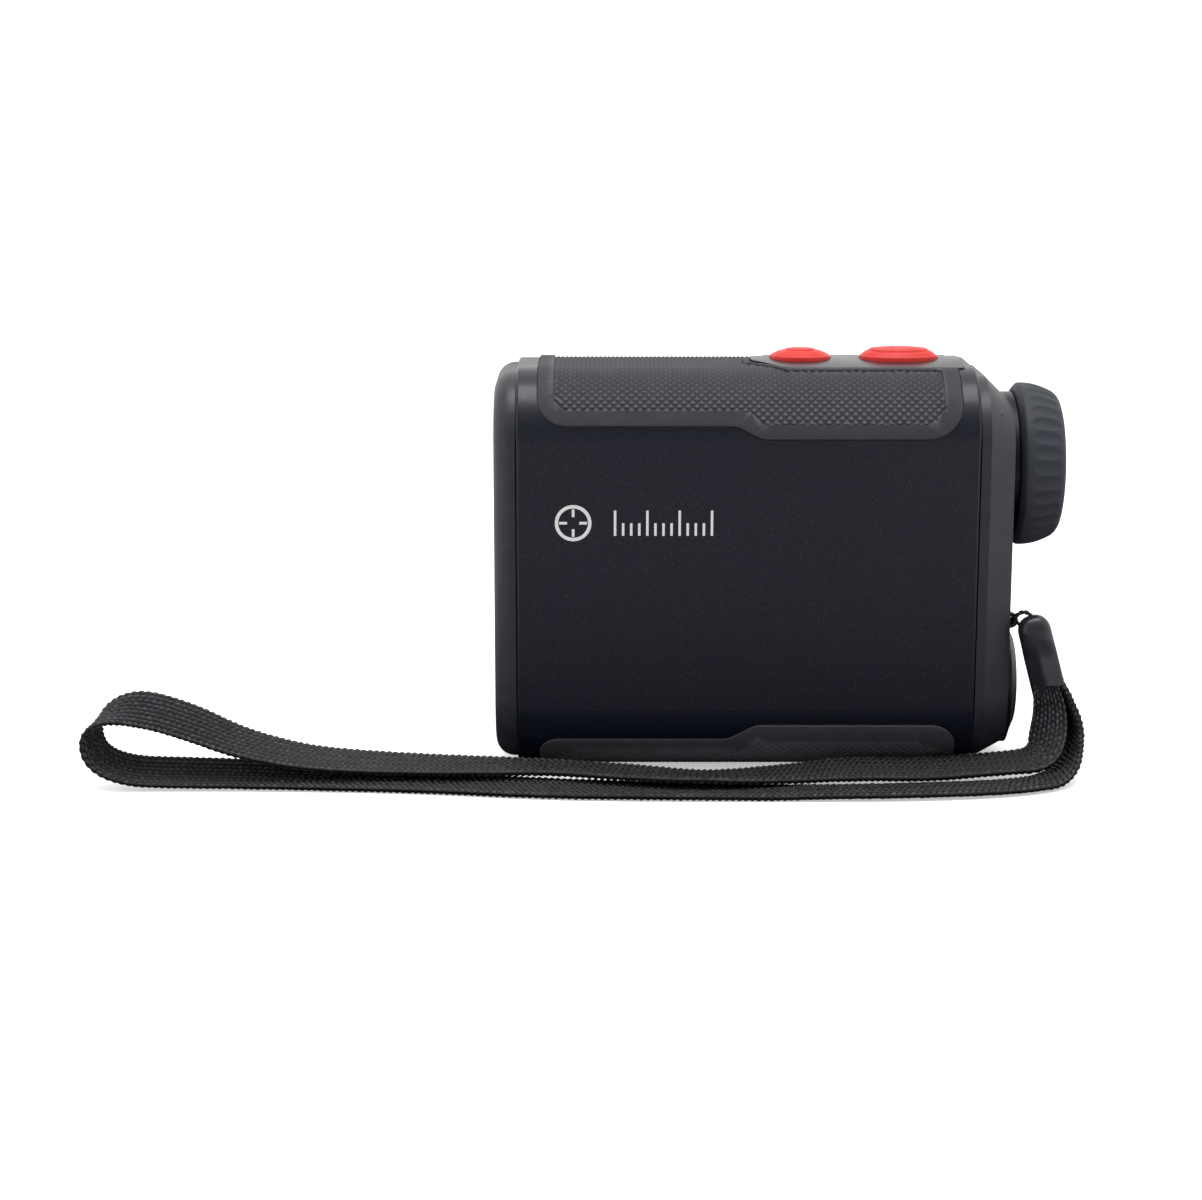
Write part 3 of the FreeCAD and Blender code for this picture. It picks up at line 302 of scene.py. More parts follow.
def make_loop(finish):
    """The twisted cord between the body's bar and the strap: the piece, and its middle line."""
    spots, _ = along_route(LOOP_ROUTE)
    line, walked, _ = even_steps(spots, LOOP_STEPS)
    ahead = unit(np.gradient(line, axis=0))
    deep = unit(LOOP_SIDE - ahead * (ahead @ LOOP_SIDE)[:, None])
    outward = np.cross(ahead, deep)
    twist = 2 * math.pi * walked / LOOP_TWIST
    ring = circle_angles(STRAND_SIDES)
    points = []
    faces = []
    for start in (0, math.pi):
        phase = twist + start
        centre = line + STRAND_OFFSET * (np.cos(phase)[:, None] * deep + np.sin(phase)[:, None] * outward)
        section = (np.cos(ring)[None, :, None] * deep[:, None]
                   + np.sin(ring)[None, :, None] * outward[:, None])
        more, extra = loft(centre[:, None] + STRAND_RADIUS * section)
        faces += [tuple(corner + len(points) * len(more) for corner in face) for face in extra]
        points.append(more)
    loop = new_piece("lanyard_loop_cord", np.vstack(points), faces, finish, replaced=["lanyard_loop"])
    return loop, line


# ---- connector ----

CONNECTOR_FOOT = np.array([49.2, -16.0, 16.05])
CONNECTOR_LEAN = math.radians(15)
CONNECTOR_LONG = 14.2
CONNECTOR_SIDES = 96
CONNECTOR_HALF = (3.0, 2.5)
DOME_HIGH = 3.1


def polygon_reach(corners, angles):
    """How far a convex outline reaches from its middle in each direction."""
    corners = np.asarray(corners, float)
    reach = np.full(len(angles), np.inf)
    for first, second in zip(corners, np.roll(corners, -1, 0)):
        side = second - first
        normal = np.array([side[1], -side[0]])
        away = np.cos(angles) * normal[0] + np.sin(angles) * normal[1]
        hit = np.where(away > 1e-6, first @ normal / np.where(away > 1e-6, away, 1), np.inf)
        reach = np.minimum(reach, hit)
    return reach


def make_connector(finish):
    """The moulded sleeve that crimps the strap: facets below, running out into a dome."""
    angles = circle_angles(CONNECTOR_SIDES)
    facets = [(3.0, -1.3), (3.0, 1.4), (1.7, 2.5), (-1.7, 2.5), (-3.0, 1.4), (-3.0, -0.7), (-0.6, -2.5)]
    crease = polygon_reach(facets, angles)
    oval = oval_reach(angles, *CONNECTOR_HALF, 2.6)
    averaged = np.array([crease[np.arange(side - 3, side + 4) % CONNECTOR_SIDES].mean()
                         for side in range(CONNECTOR_SIDES)])
    faceted = 0.45 * crease + 0.55 * averaged
    left = np.clip((-0.6 - faceted * np.cos(angles)) / 2.4, 0, 1)
    foot = 1.0 - 2.5 * left * (np.sin(angles) < 0.6) - 0.9 * np.clip(np.cos(angles), 0, 1)

    def ring(level, scale, drawn_in=0.0):
        share = np.clip((level - 6.0) / 4.0, 0, 1)
        mix = share * share * (3 - 2 * share)
        reach = (faceted * (1 - mix) + oval * mix) * scale - drawn_in
        drop = np.clip(1 - level / 5.0, 0, 1) if level < 5 else 0
        height = level + foot * drop
        return np.stack([reach * np.cos(angles), reach * np.sin(angles), height], 1)

    mouth = ((3.0, 1.9), (2.4, 0.95), (0.15, 0.6), (0.0, 0.4), (0.0, 0.15), (0.15, 0.0))
    dome_foot = CONNECTOR_LONG - DOME_HIGH
    rings = [ring(level, 1, drawn_in) for level, drawn_in in mouth]
    rings += [ring(level, 1) for level in np.linspace(0.6, dome_foot, 22)]
    rings += [ring(dome_foot + DOME_HIGH * math.sin(turn), math.cos(turn) ** 0.85)
              for turn in np.linspace(0, math.radians(86), 12)[1:]]
    points, faces = loft(rings)
    cosine, sine = math.cos(CONNECTOR_LEAN), math.sin(CONNECTOR_LEAN)
    turned = np.stack([points[:, 0] * cosine - points[:, 2] * sine, points[:, 1],
                       points[:, 0] * sine + points[:, 2] * cosine], 1)
    piece = new_piece("strap_end_sleeve", turned + CONNECTOR_FOOT, faces, finish,
                      replaced=["strap_connector"])
    sharpen(piece, 38)
    return piece


# ---- knurled grips ----

# the housing's section, and the grips' teeth, borders and walls, in millimetres
BODY_HALF = 20.5
BODY_TALL = 74.6
BODY_ROUND = 13.0
FLAT_HALF = BODY_HALF - BODY_ROUND
ARC_END = FLAT_HALF + BODY_ROUND * math.pi / 2
TOOTH_STEP = 0.785
TOOTH_DEEP = 0.55
TOOTH_LEAN = 0.33
TOOTH_BLUNT = 0.12
TOOTH_SUNK = 0.12
EDGE_ROUND = 0.2
WALL_DEEP = 1.1
ZONE_WALL = 0.14
OUTLINE_STEP = 0.7
CORNER_STEP = 0.45


def wrap(places, height, bottom=False):
    """Fold a flat pattern of (x, distance from the middle line) over the housing's rounded section."""
    x, out = places[:, 0], np.abs(places[:, 1])
    turn = np.clip((out - FLAT_HALF) / BODY_ROUND, 0, math.pi / 2)
    past = np.maximum(0, out - ARC_END)
    flat = np.minimum(out, FLAT_HALF)
    reach = BODY_ROUND + height
    y = np.sign(places[:, 1]) * (flat + reach * np.sin(turn))
    z = BODY_TALL - BODY_ROUND + reach * np.cos(turn) - past
    return np.stack([x, y, BODY_TALL - z if bottom else z], 1)


def rounded(corners):
    """An outline from (x, s, radius) corners: round corners become arcs, and long sides are divided."""
    spots = np.array([corner[:2] for corner in corners], float)
    outline = []
    count = len(spots)
    for index in range(count):
        corner = spots[index]
        back = spots[index - 1] - corner
        ahead = spots[(index + 1) % count] - corner
        radius = corners[index][2]
        if radius < 0.05:
            outline.append(corner)
            continue
        back /= np.linalg.norm(back)
        ahead /= np.linalg.norm(ahead)
        half = math.acos(np.clip(back @ ahead, -1, 1)) / 2
        setback = radius / math.tan(half)
        middle = corner + (back + ahead) / np.linalg.norm(back + ahead) * radius / math.sin(half)
        first = corner + back * setback - middle
        last = corner + ahead * setback - middle
        start = math.atan2(first[1], first[0])
        sweep = (math.atan2(last[1], last[0]) - start + math.pi) % (2 * math.pi) - math.pi
        pieces = max(3, int(abs(sweep) * radius / CORNER_STEP))
        for part in range(pieces + 1):
            turn = start + sweep * part / pieces
            outline.append(middle + radius * np.array([math.cos(turn), math.sin(turn)]))
    divided = []
    for first, second in zip(outline, outline[1:] + outline[:1]):
        pieces = max(1, int(np.linalg.norm(second - first) / OUTLINE_STEP))
        divided += [first + (second - first) * part / pieces for part in range(pieces)]
    return np.array(divided)


def inset(outline, depth):
    """The outline moved inwards; it runs anticlockwise."""
    ahead = unit(np.roll(outline, -1, 0) - outline)
    normal = np.stack([-ahead[:, 1], ahead[:, 0]], 1)
    mean = unit(normal + np.roll(normal, 1, 0))
    stretch = 1 / np.clip((mean * normal).sum(1), 0.5, 1)
    return outline + mean * depth * stretch[:, None]


def edge_distance(places, outline):
    best = np.full(len(places), np.inf)
    for first, second in zip(outline, np.roll(outline, -1, 0)):
        side = second - first
        share = np.clip((places - first) @ side / max(side @ side, 1e-9), 0, 1)
        gap = places - first - share[:, None] * side
        best = np.minimum(best, np.hypot(gap[:, 0], gap[:, 1]))
    return best


def is_inside(places, outline):
    crossings = np.zeros(len(places), int)
    for first, second in zip(outline, np.roll(outline, -1, 0)):
        spans = (first[1] > places[:, 1]) != (second[1] > places[:, 1])
        rise = second[1] - first[1] if second[1] != first[1] else 1e-9
        meet = first[0] + (places[:, 1] - first[1]) / rise * (second[0] - first[0])
        crossings += spans & (places[:, 0] < meet)
    return crossings % 2 == 1


def knurl_share(places):
    """Where a place is on its tooth, from 0 at the tip to 1 in the valley round it."""
    pitch = TOOTH_STEP * math.sqrt(2)
    first = (places[:, 0] + places[:, 1]) / math.sqrt(2)
    second = (places[:, 0] - places[:, 1]) / math.sqrt(2)
    first = first - pitch * np.round(first / pitch)
    second = second - pitch * np.round(second / pitch)
    return 2 * np.maximum(np.abs(first), np.abs(second)) / pitch


def lean_teeth(places, zone):
    """Low on the sides the teeth point a little downwards."""
    tips = (knurl_share(places) < 0.05) & is_inside(places, zone)
    down = TOOTH_LEAN * np.clip((np.abs(places[:, 1]) - 16) / 3, 0, 1) * np.sign(places[:, 1])
    leant = places.copy()
    leant[:, 1] += down * tips
    return leant


def grip_height(places, outline, zone, deep):
    """The grip's top over its flat pattern: round at the edge, and toothed inside the zone's low wall."""
    edge = edge_distance(places, outline)
    near = np.clip(1 - edge / EDGE_ROUND, 0, 1)
    height = EDGE_ROUND * (np.sqrt(1 - near ** 2) - 1)
    inner = is_inside(places, zone)
    depth = edge_distance(places, zone) * inner
    share = np.clip(depth / ZONE_WALL, 0, 1)
    knurl = -TOOTH_SUNK - deep * np.maximum(knurl_share(places), TOOTH_BLUNT)
    return np.where(inner, share * knurl, height)


def tooth_grid(low, high, zone):
    """The knurl's tips and valley corners inside a zone, and the valley lines between them."""
    columns = range(int(low[0] / TOOTH_STEP) - 1, int(high[0] / TOOTH_STEP) + 2)
    rows = range(int(low[1] / TOOTH_STEP) - 1, int(high[1] / TOOTH_STEP) + 2)
    keys = [(column, row) for column in columns for row in rows]
    places = np.array(keys, float) * TOOTH_STEP
    keep = is_inside(places, zone) & (edge_distance(places, zone) > ZONE_WALL + 0.08)
    kept = {key: None for key, wanted in zip(keys, keep) if wanted}
    for number, key in enumerate(kept):
        kept[key] = number
    lines = []
    for (column, row), number in kept.items():
        if (column + row) % 2:
            lines += [(number, kept[other]) for other in ((column + 1, row + 1), (column + 1, row - 1))
                      if other in kept]
    return np.array(list(kept), float) * TOOTH_STEP, lines


def flat_mesh(outlines, places, lines):
    """Triangles over a flat outline, through its inner outlines, loose places and lines."""
    spots = []
    edges = []
    for outline in outlines:
        start = len(spots)
        spots += [Vector(spot) for spot in outline]
        edges += [(start + index, start + (index + 1) % len(outline)) for index in range(len(outline))]
    start = len(spots)
    spots += [Vector(spot) for spot in places]
    edges += [(start + first, start + second) for first, second in lines]
    found, _, triangles, *_ = delaunay_2d_cdt(spots, edges, [], 1, 1e-5)
    flat = np.array([spot[:] for spot in found])
    triangles = np.array([list(triangle) for triangle in triangles])
    middles = flat[triangles].mean(1)
    triangles = triangles[is_inside(middles, outlines[0])]
    return flat, triangles


def filler(outline, zone, step=1.6):
    """Loose places over an outline and outside its zone, which keep the mesh's triangles small."""
    low, high = outline.min(0), outline.max(0)
    across, along = np.meshgrid(np.arange(low[0], high[0], step), np.arange(low[1], high[1], step))
    places = np.stack([across.ravel(), along.ravel()], 1)
    keep = is_inside(places, outline) & (edge_distance(places, outline) > 0.7)
    if zone is not None:
        keep &= ~is_inside(places, zone) & (edge_distance(places, zone) > 0.5)
    return places[keep]


def matching(flat, outline):
    """The number in a mesh's points of each of an outline's points."""
    gaps = ((flat[None] - outline[:, None]) ** 2).sum(2)
    return gaps.argmin(1)


def make_grip(name, node, corners, zone_corners, finish, deep=TOOTH_DEEP, bottom=False):
    """A rubber pad folded over the housing, with a knurled zone inside a smooth border."""
    outline = rounded(corners)
    zone = rounded(zone_corners)
    teeth, lines = tooth_grid(zone.min(0), zone.max(0), zone)
    outlines = [outline, inset(outline, 0.09), inset(outline, EDGE_ROUND), zone, inset(zone, ZONE_WALL)]
    smooth = filler(outline, zone)
    flat, triangles = flat_mesh(outlines, np.vstack([teeth, smooth]), lines)
    top = wrap(lean_teeth(flat, zone), grip_height(flat, outline, zone, deep), bottom)
    under_flat, under = flat_mesh([outline], filler(outline, None, 2.4), [])
    underside = wrap(under_flat, np.full(len(under_flat), -WALL_DEEP), bottom)
    rim, under_rim = matching(flat, outline), matching(under_flat, outline)
    points = np.vstack([top, underside])
    shift = len(top)
    faces = [tuple(face) for face in triangles] + [tuple(face[::-1] + shift) for face in under]
    count = len(outline)
    for index in range(count):
        after = (index + 1) % count
        faces.append((rim[after], rim[index], under_rim[index] + shift, under_rim[after] + shift))
    if bottom:
        faces = [face[::-1] for face in faces]
    piece = new_piece(name, points, faces, finish, replaced=[node])
    tooth = piece.data.attributes.new("tooth", "FLOAT", "POINT")
    # painted highlight on the teeth's tips, fading to painted shade in the valleys round them
    tones = is_inside(flat, zone) * np.clip(1.1 - 0.75 * knurl_share(flat), 0, 1)
    tooth.data.foreach_set("value", np.concatenate([tones, np.zeros(len(underside))]))
    sharpen(piece, 24)


def both_sides(corners):
    """Close a half outline, given on its +s side from front to rear, with its mirror image, anticlockwise."""
    return [(x, -s, r) for x, s, r in corners] + [(x, s, r) for x, s, r in corners[::-1]]


def out_to(height):
    """How far from the middle line a height on the rounded side is."""
    return FLAT_HALF + BODY_ROUND * math.acos((height - (BODY_TALL - BODY_ROUND)) / BODY_ROUND)


def make_grips(finish):
    edge, low_edge = out_to(65.1), out_to(62.75)
    top = both_sides([(-44.3, edge, 5.2), (-8.7, edge, 3.5), (-4.1, low_edge, 3.5), (31.8, low_edge, 6.4),
                      (31.8, 9.56, 0.5), (1.04, 9.56, 4.8), (-5.36, 3.02, 2.5)])
    top_zone = both_sides([(-41.5, 18.9, 1.8), (-39.8, 21.6, 2.2), (-6.8, 21.6, 2.6), (-4.0, 24.1, 2.4),
                           (26.6, 24.1, 3.0), (28.8, 21.0, 2.4), (28.8, 10.9, 1.2), (0.6, 10.9, 3.0),
                           (-6.6, 3.4, 2.0)])
    make_grip("top_grip_pad", "top_grip", top, top_zone, finish)
    low, high = out_to(BODY_TALL - 7.1), out_to(BODY_TALL - 10.0)
    under = both_sides([(-44.2, low, 3.5), (-9.8, low, 3.5), (-4.7, high, 3.5), (31.9, high, 4.6)])
    under_zone = both_sides([(-41.0, 14.6, 1.6), (-38.6, 18.4, 2.0), (-7.6, 18.4, 2.0), (-3.8, 21.6, 2.0),
                             (25.4, 21.6, 3.0), (28.5, 18.2, 2.0)])
    make_grip("bottom_grip_pad", "bottom_grip", under, under_zone, finish, deep=0.16, bottom=True)


# ---- eyepiece rubber ----

EYE_AXIS = 55.3
HOLLOWS = 33
HOLLOW_STEPS = 12
HOLLOW_DEEP = 0.34
HOLLOW_MIDDLE = 48.1
HOLLOW_HALF = 2.7


def make_eyepiece(finish):
    """The focusing ring's rubber: shallow lens-shaped finger hollows round a side that tapers to the eye."""
    steps = HOLLOWS * HOLLOW_STEPS
    angle = circle_angles(steps)
    between = (np.arange(steps) % HOLLOW_STEPS - HOLLOW_STEPS / 2) / (HOLLOW_STEPS / 2)
    outer = [(43.35, 13.5), (43.42, 13.9), (43.6, 14.15), (44.05, 14.75), (44.25, 14.95), (44.5, 15.05)]
    outer += [(x, 15.06 - 0.05 * max(0, x - 45) ** 2) for x in np.linspace(44.8, 50.6, 20)]
    outer += [(50.95, 13.2), (51.3, 12.85), (51.58, 12.4), (51.74, 11.9)]
    inner = [(51.8, 11.4), (51.78, 10.9), (51.65, 10.45), (51.4, 10.1), (51.1, 9.9), (50.8, 9.82),
             (50.6, 9.82), (50.55, 13.18), (47.0, 13.22), (43.35, 13.22)]
    rings = []
    for number, (x, radius) in enumerate(outer + inner):
        reach = np.full(steps, radius)
        wide = 0.92 * math.sqrt(max(0, 1 - ((x - HOLLOW_MIDDLE) / HOLLOW_HALF) ** 2))
        if number < len(outer) and wide > 0.05:
            dip = np.clip(1 - (between / wide) ** 2, 0, 1)
            reach = radius - HOLLOW_DEEP * wide * dip ** 0.8
        ring = [np.full(steps, x), -reach * np.cos(angle), EYE_AXIS + reach * np.sin(angle)]
        rings.append(np.stack(ring, 1))
    points, faces = loft(rings, closed_along=True)
    piece = new_piece("focus_ring_rubber", points, faces, finish, body="diopter",
                      replaced=["eyepiece_rubber"])
    sharpen(piece, 40)


# ---- buttons ----

BUTTON_SIDES = 96
BUTTON_SQUARE = 2.25
WALL_TOP = 75.75
WALL_ROUND = 0.35
STEP_ROUND = 0.4
STEM_RADIUS = 1.6
# the levels of the stem's foot, of the flange that holds the button in, and of the plain wall over it
STEM_FOOT, FLANGE_FOOT, FLANGE_TOP, WALL_FOOT = 70.6, 71.6, 72.4, 74.0
FLANGE_WIDE = 0.5


def make_button(name, node, body, x, size, top, step_size, step_high, crown, finish):
    """A pressed button: a low wall, a shoulder that slopes in, and a slightly domed step on top."""
    angles = circle_angles(BUTTON_SIDES)
    around = np.stack([np.cos(angles), np.sin(angles)], 1)
    along, across = size[0] / 2, size[1] / 2
    step_along, step_across = step_size[0] / 2, step_size[1] / 2
    step_base, rim = top - step_high, top - crown
    rings = []

    def add_ring(reach, height):
        plan = around * np.reshape(reach, (-1, 1))
        rings.append(np.column_stack([plan[:, 0] + x, plan[:, 1], np.full(BUTTON_SIDES, height)]))

    def add_plan(half_along, half_across, height):
        add_ring(oval_reach(angles, half_along, half_across, BUTTON_SQUARE), height)

    for radius, height in ((0.05, STEM_FOOT), (STEM_RADIUS, STEM_FOOT), (STEM_RADIUS, FLANGE_FOOT)):
        add_ring(radius, height)
    for grow, height in ((FLANGE_WIDE, FLANGE_FOOT), (FLANGE_WIDE, FLANGE_TOP), (0, FLANGE_TOP),
                         (0, WALL_FOOT), (0, WALL_TOP - WALL_ROUND)):
        add_plan(along + grow, across + grow, height)
    for turn in (30, 60, 90):
        draw = WALL_ROUND * (1 - math.cos(math.radians(turn)))
        add_plan(along - draw, across - draw,
                 WALL_TOP - WALL_ROUND * (1 - 0.8 * math.sin(math.radians(turn))))
    base = WALL_TOP - 0.2 * WALL_ROUND
    for share in np.linspace(0.12, 1, 9):
        add_plan(along - WALL_ROUND - (along - WALL_ROUND - step_along) * share,
                 across - WALL_ROUND - (across - WALL_ROUND - step_across) * share,
                 base + (step_base - base) * math.sin(share * math.pi / 2) ** 0.9)
    for draw, share in ((0.04, 0.35), (0.16, 0.75), (STEP_ROUND, 1.0)):
        add_plan(step_along - draw, step_across - draw, step_base + (rim - step_base) * share)
    for share in (0.8, 0.6, 0.4, 0.2, 0.04):
        add_plan((step_along - STEP_ROUND) * share, (step_across - STEP_ROUND) * share,
                 top - crown * share ** 2)
    points, faces = loft(rings)
    piece = new_piece(name, points, faces, finish, body=body, replaced=[node])
    sharpen(piece, 50)


# ---- printed mark ----

MARK_BACK, MARK_FRONT = -20.05, -20.13
MARK_HEIGHT = 47.6
RETICLE_MIDDLE = -37.9
RETICLE_RADIUS = 3.3
RETICLE_PARTS = 40
RING_WIDE = 0.62
CROSS_NEAR, CROSS_FAR, CROSS_HALF = 1.1, 2.5, 0.24
SCALE_LEFT = -30.6
TICK_COUNT = 13
LONG_EVERY = 4
TICK_STEP = 1.45
TICK_WIDE = 0.45
TICK_SHORT = 2.3


def make_mark(finish):
    """A plain printed reticle beside a graduated scale, a film's thickness proud of the shell."""
    points = []
    faces = []

    def film(outline_pairs):
        start = len(points)
        count = len(outline_pairs)
        for depth in (MARK_BACK, MARK_FRONT):
            points.extend((x, depth, z) for x, z in outline_pairs)
        faces.append(tuple(range(start, start + count))[::-1])
        faces.append(tuple(range(start + count, start + 2 * count)))
        for index in range(count):
            after = (index + 1) % count
            faces.append((start + index, start + after, start + count + after, start + count + index))

    for part in range(RETICLE_PARTS):
        start, end = (2 * math.pi * number / RETICLE_PARTS for number in (part, part + 1))
        outer, inner = RETICLE_RADIUS, RETICLE_RADIUS - RING_WIDE
        film([(RETICLE_MIDDLE + reach * math.cos(turn), MARK_HEIGHT + reach * math.sin(turn))
              for reach, turn in ((outer, start), (outer, end), (inner, end), (inner, start))])
    for turn in (0, 90, 180, 270):
        across, up = math.cos(math.radians(turn)), math.sin(math.radians(turn))
        corners = ((CROSS_NEAR, CROSS_HALF), (CROSS_FAR, CROSS_HALF), (CROSS_FAR, -CROSS_HALF),
                   (CROSS_NEAR, -CROSS_HALF))
        film([(RETICLE_MIDDLE + across * reach + side * up, MARK_HEIGHT + up * reach - side * across)
              for reach, side in corners])
    for tick in range(TICK_COUNT):
        left = SCALE_LEFT + TICK_STEP * tick
        right = left + TICK_WIDE
        low = MARK_HEIGHT - TICK_SHORT
        high = low + (TICK_SHORT if tick % LONG_EVERY else 2 * TICK_SHORT)
        film([(left, low), (right, low), (right, high), (left, high)])
    new_piece("printed_mark", points, faces, finish, smooth=False)


# ---- materials ----

# the places of the Mix node's sockets, whose names repeat: numbers first, colours after them
NUMBER_PAIR, NUMBER_RESULT = (2, 3), 0
COLOR_PAIR, COLOR_RESULT = (6, 7), 2


def set_span(node, low, high, out_low, out_high):
    """Set what a Map Range node reads and what it gives."""
    node.inputs["From Min"].default_value = low
    node.inputs["From Max"].default_value = high
    node.inputs["To Min"].default_value = out_low
    node.inputs["To Max"].default_value = out_high


class Finish:
    """A procedural material: a Principled shader and short ways to add nodes to it."""

    def __init__(self, name, color, roughness, **fixed):
        self.material = bpy.data.materials.new(name)
        self.material.use_nodes = True
        self.tree = self.material.node_tree
        self.shader = self.tree.nodes["Principled BSDF"]
        self.place = self.node("ShaderNodeTexCoord").outputs["Object"]
        self.put("Base Color", (*color, 1))
        self.put("Roughness", roughness)
        for word, number in fixed.items():
            self.put(word.replace("_", " "), number)
        self.normal = None

    def node(self, kind, **settings):
        made = self.tree.nodes.new(kind)
        for word, setting in settings.items():
            setattr(made, word, setting)
        return made

    def put(self, socket, amount):
        if isinstance(amount, bpy.types.NodeSocket):
            self.tree.links.new(amount, self.shader.inputs[socket])
        else:
            self.shader.inputs[socket].default_value = amount

    def link(self, source, node, socket):
        self.tree.links.new(source, node.inputs[socket])

    def noise(self, size_mm, detail=3.0, stretch=None):
        """Noise whose features are about this many millimetres across."""
        made = self.node("ShaderNodeTexNoise")
        made.inputs["Scale"].default_value = 1 / (size_mm * MM)
        made.inputs["Detail"].default_value = detail
        made.inputs["Roughness"].default_value = 0.55
        place = self.place
        if stretch:
            mapping = self.node("ShaderNodeMapping")
            mapping.inputs["Scale"].default_value = stretch
            self.link(place, mapping, "Vector")
            place = mapping.outputs["Vector"]
        self.link(place, made, "Vector")
        return made.outputs["Fac"]

    def cells(self, size_mm):
        """Cells of about this size, each with a colour of its own and the distance from its middle."""
        made = self.node("ShaderNodeTexVoronoi", feature="F1")
        made.inputs["Scale"].default_value = 1 / (size_mm * MM)
        self.link(self.place, made, "Vector")
        return made

    def span(self, source, low, high, out_low=0.0, out_high=1.0):
        """A value's range from low to high, spread over another range."""
        made = self.node("ShaderNodeMapRange")
        self.link(source, made, "Value")
        set_span(made, low, high, out_low, out_high)
        return made.outputs["Result"]

    def times(self, first, second):
        made = self.node("ShaderNodeMath", operation="MULTIPLY")
        for index, source in enumerate((first, second)):
            if isinstance(source, bpy.types.NodeSocket):
                self.tree.links.new(source, made.inputs[index])
            else:
                made.inputs[index].default_value = source
        return made.outputs[0]

    def blend(self, share, first, second):
        """A colour between two colours or sockets."""
        made = self.node("ShaderNodeMix", data_type="RGBA")
        self.tree.links.new(share, made.inputs["Factor"])
        for index, source in zip(COLOR_PAIR, (first, second)):
            if isinstance(source, bpy.types.NodeSocket):
                self.tree.links.new(source, made.inputs[index])
            else:
                made.inputs[index].default_value = (*source, 1)
        return made.outputs[COLOR_RESULT]

    def bump(self, height, depth_mm):
        made = self.node("ShaderNodeBump")
        made.inputs["Strength"].default_value = 1.0
        made.inputs["Distance"].default_value = depth_mm * MM
        self.link(height, made, "Height")
        if self.normal:
            self.link(self.normal, made, "Normal")
        self.normal = made.outputs["Normal"]
        self.put("Normal", self.normal)


def worn_plastic(name, color, roughness, grain_mm=0.12, grain_deep=0.006, spread=0.06):
    """Moulded plastic: fine spark-eroded grain, uneven gloss and slight tone changes."""
    finish = Finish(name, color, roughness)
    cloud = finish.noise(9.0, 4.0)
    finish.put("Roughness", finish.span(cloud, 0.3, 0.7, roughness - spread, roughness + spread))
    lighter = tuple(part * 1.35 + 0.0015 for part in color)
    finish.put("Base Color", finish.blend(finish.span(finish.noise(2.5, 5.0), 0.35, 0.75), color, lighter))
    finish.bump(finish.noise(grain_mm, 2.0), grain_deep)
    return finish.material


def shell_paint():
    """Dark blue-black paint with a fine metallic flake and a satin clear coat."""
    dark = (0.0030, 0.0046, 0.0130)
    finish = Finish("shell_flake_paint", dark, 0.31)
    flakes = finish.cells(0.17)
    tint = finish.node("ShaderNodeSeparateColor")
    finish.link(flakes.outputs["Color"], tint, "Color")
    near = finish.span(flakes.outputs["Distance"], 0.40, 0.25)
    chosen = finish.span(tint.outputs["Red"], 0.88, 0.94)
    flake = finish.times(near, chosen)
    bright = finish.span(tint.outputs["Green"], 0.0, 1.0, 0.02, 0.16)
    grey = finish.node("ShaderNodeCombineColor")
    for word in ("Red", "Green", "Blue"):
        finish.link(bright, grey, word)
    finish.put("Base Color", finish.blend(flake, dark, grey.outputs["Color"]))
    finish.put("Metallic", finish.times(flake, 0.8))
    cloud = finish.noise(14.0, 4.0)
    finish.put("Roughness", finish.span(cloud, 0.3, 0.7, 0.28, 0.34))
    finish.bump(finish.noise(0.5, 2.0), 0.003)
    return finish.material


def grip_rubber():
    """Matt black rubber, the teeth's tips painted paler as a painted highlight and their valleys darker as
    painted shade.
    """
    finish = Finish("grip_rubber", (0.042, 0.044, 0.051), 0.7, Specular_IOR_Level=0.3)
    tooth = finish.node("ShaderNodeAttribute", attribute_name="tooth").outputs["Fac"]
    worn = finish.blend(finish.span(finish.noise(2.5, 5.0), 0.35, 0.75), (0.040, 0.042, 0.049),
                        (0.048, 0.050, 0.058))
    # painted highlight on the teeth's tips and painted shade in their valleys, from the per-point attribute
    finish.put("Base Color", finish.blend(tooth, worn, (0.105, 0.108, 0.122)))
    finish.put("Roughness", finish.span(finish.noise(9.0, 4.0), 0.3, 0.7, 0.62, 0.76))
    finish.bump(finish.noise(0.09, 2.0), 0.006)
    return finish.material


def eyepiece_rubber():
    """Blue-black rubber with a little pale dust."""
    dark = (0.029, 0.033, 0.044)
    finish = Finish("eyepiece_rubber", dark, 0.55, Specular_IOR_Level=0.35)
    dust = finish.span(finish.noise(0.35, 3.0), 0.66, 0.76)
    finish.put("Base Color", finish.blend(dust, dark, (0.046, 0.050, 0.060)))
    finish.put("Roughness", finish.span(finish.noise(5.0, 4.0), 0.3, 0.7, 0.48, 0.6))
    finish.bump(finish.noise(0.07, 2.0), 0.005)
    return finish.material


def button_red():
    """Red silicone, a little uneven in tone and gloss."""
    finish = Finish("button_red", (0.74, 0.034, 0.028), 0.42, Specular_IOR_Level=0.35)
    tone = finish.span(finish.noise(1.8, 4.0), 0.3, 0.75)
    finish.put("Base Color", finish.blend(tone, (0.76, 0.036, 0.030), (0.66, 0.027, 0.021)))
    finish.put("Roughness", finish.span(finish.noise(3.0, 4.0), 0.3, 0.7, 0.36, 0.5))
    finish.bump(finish.noise(0.1, 2.0), 0.004)
    return finish.material


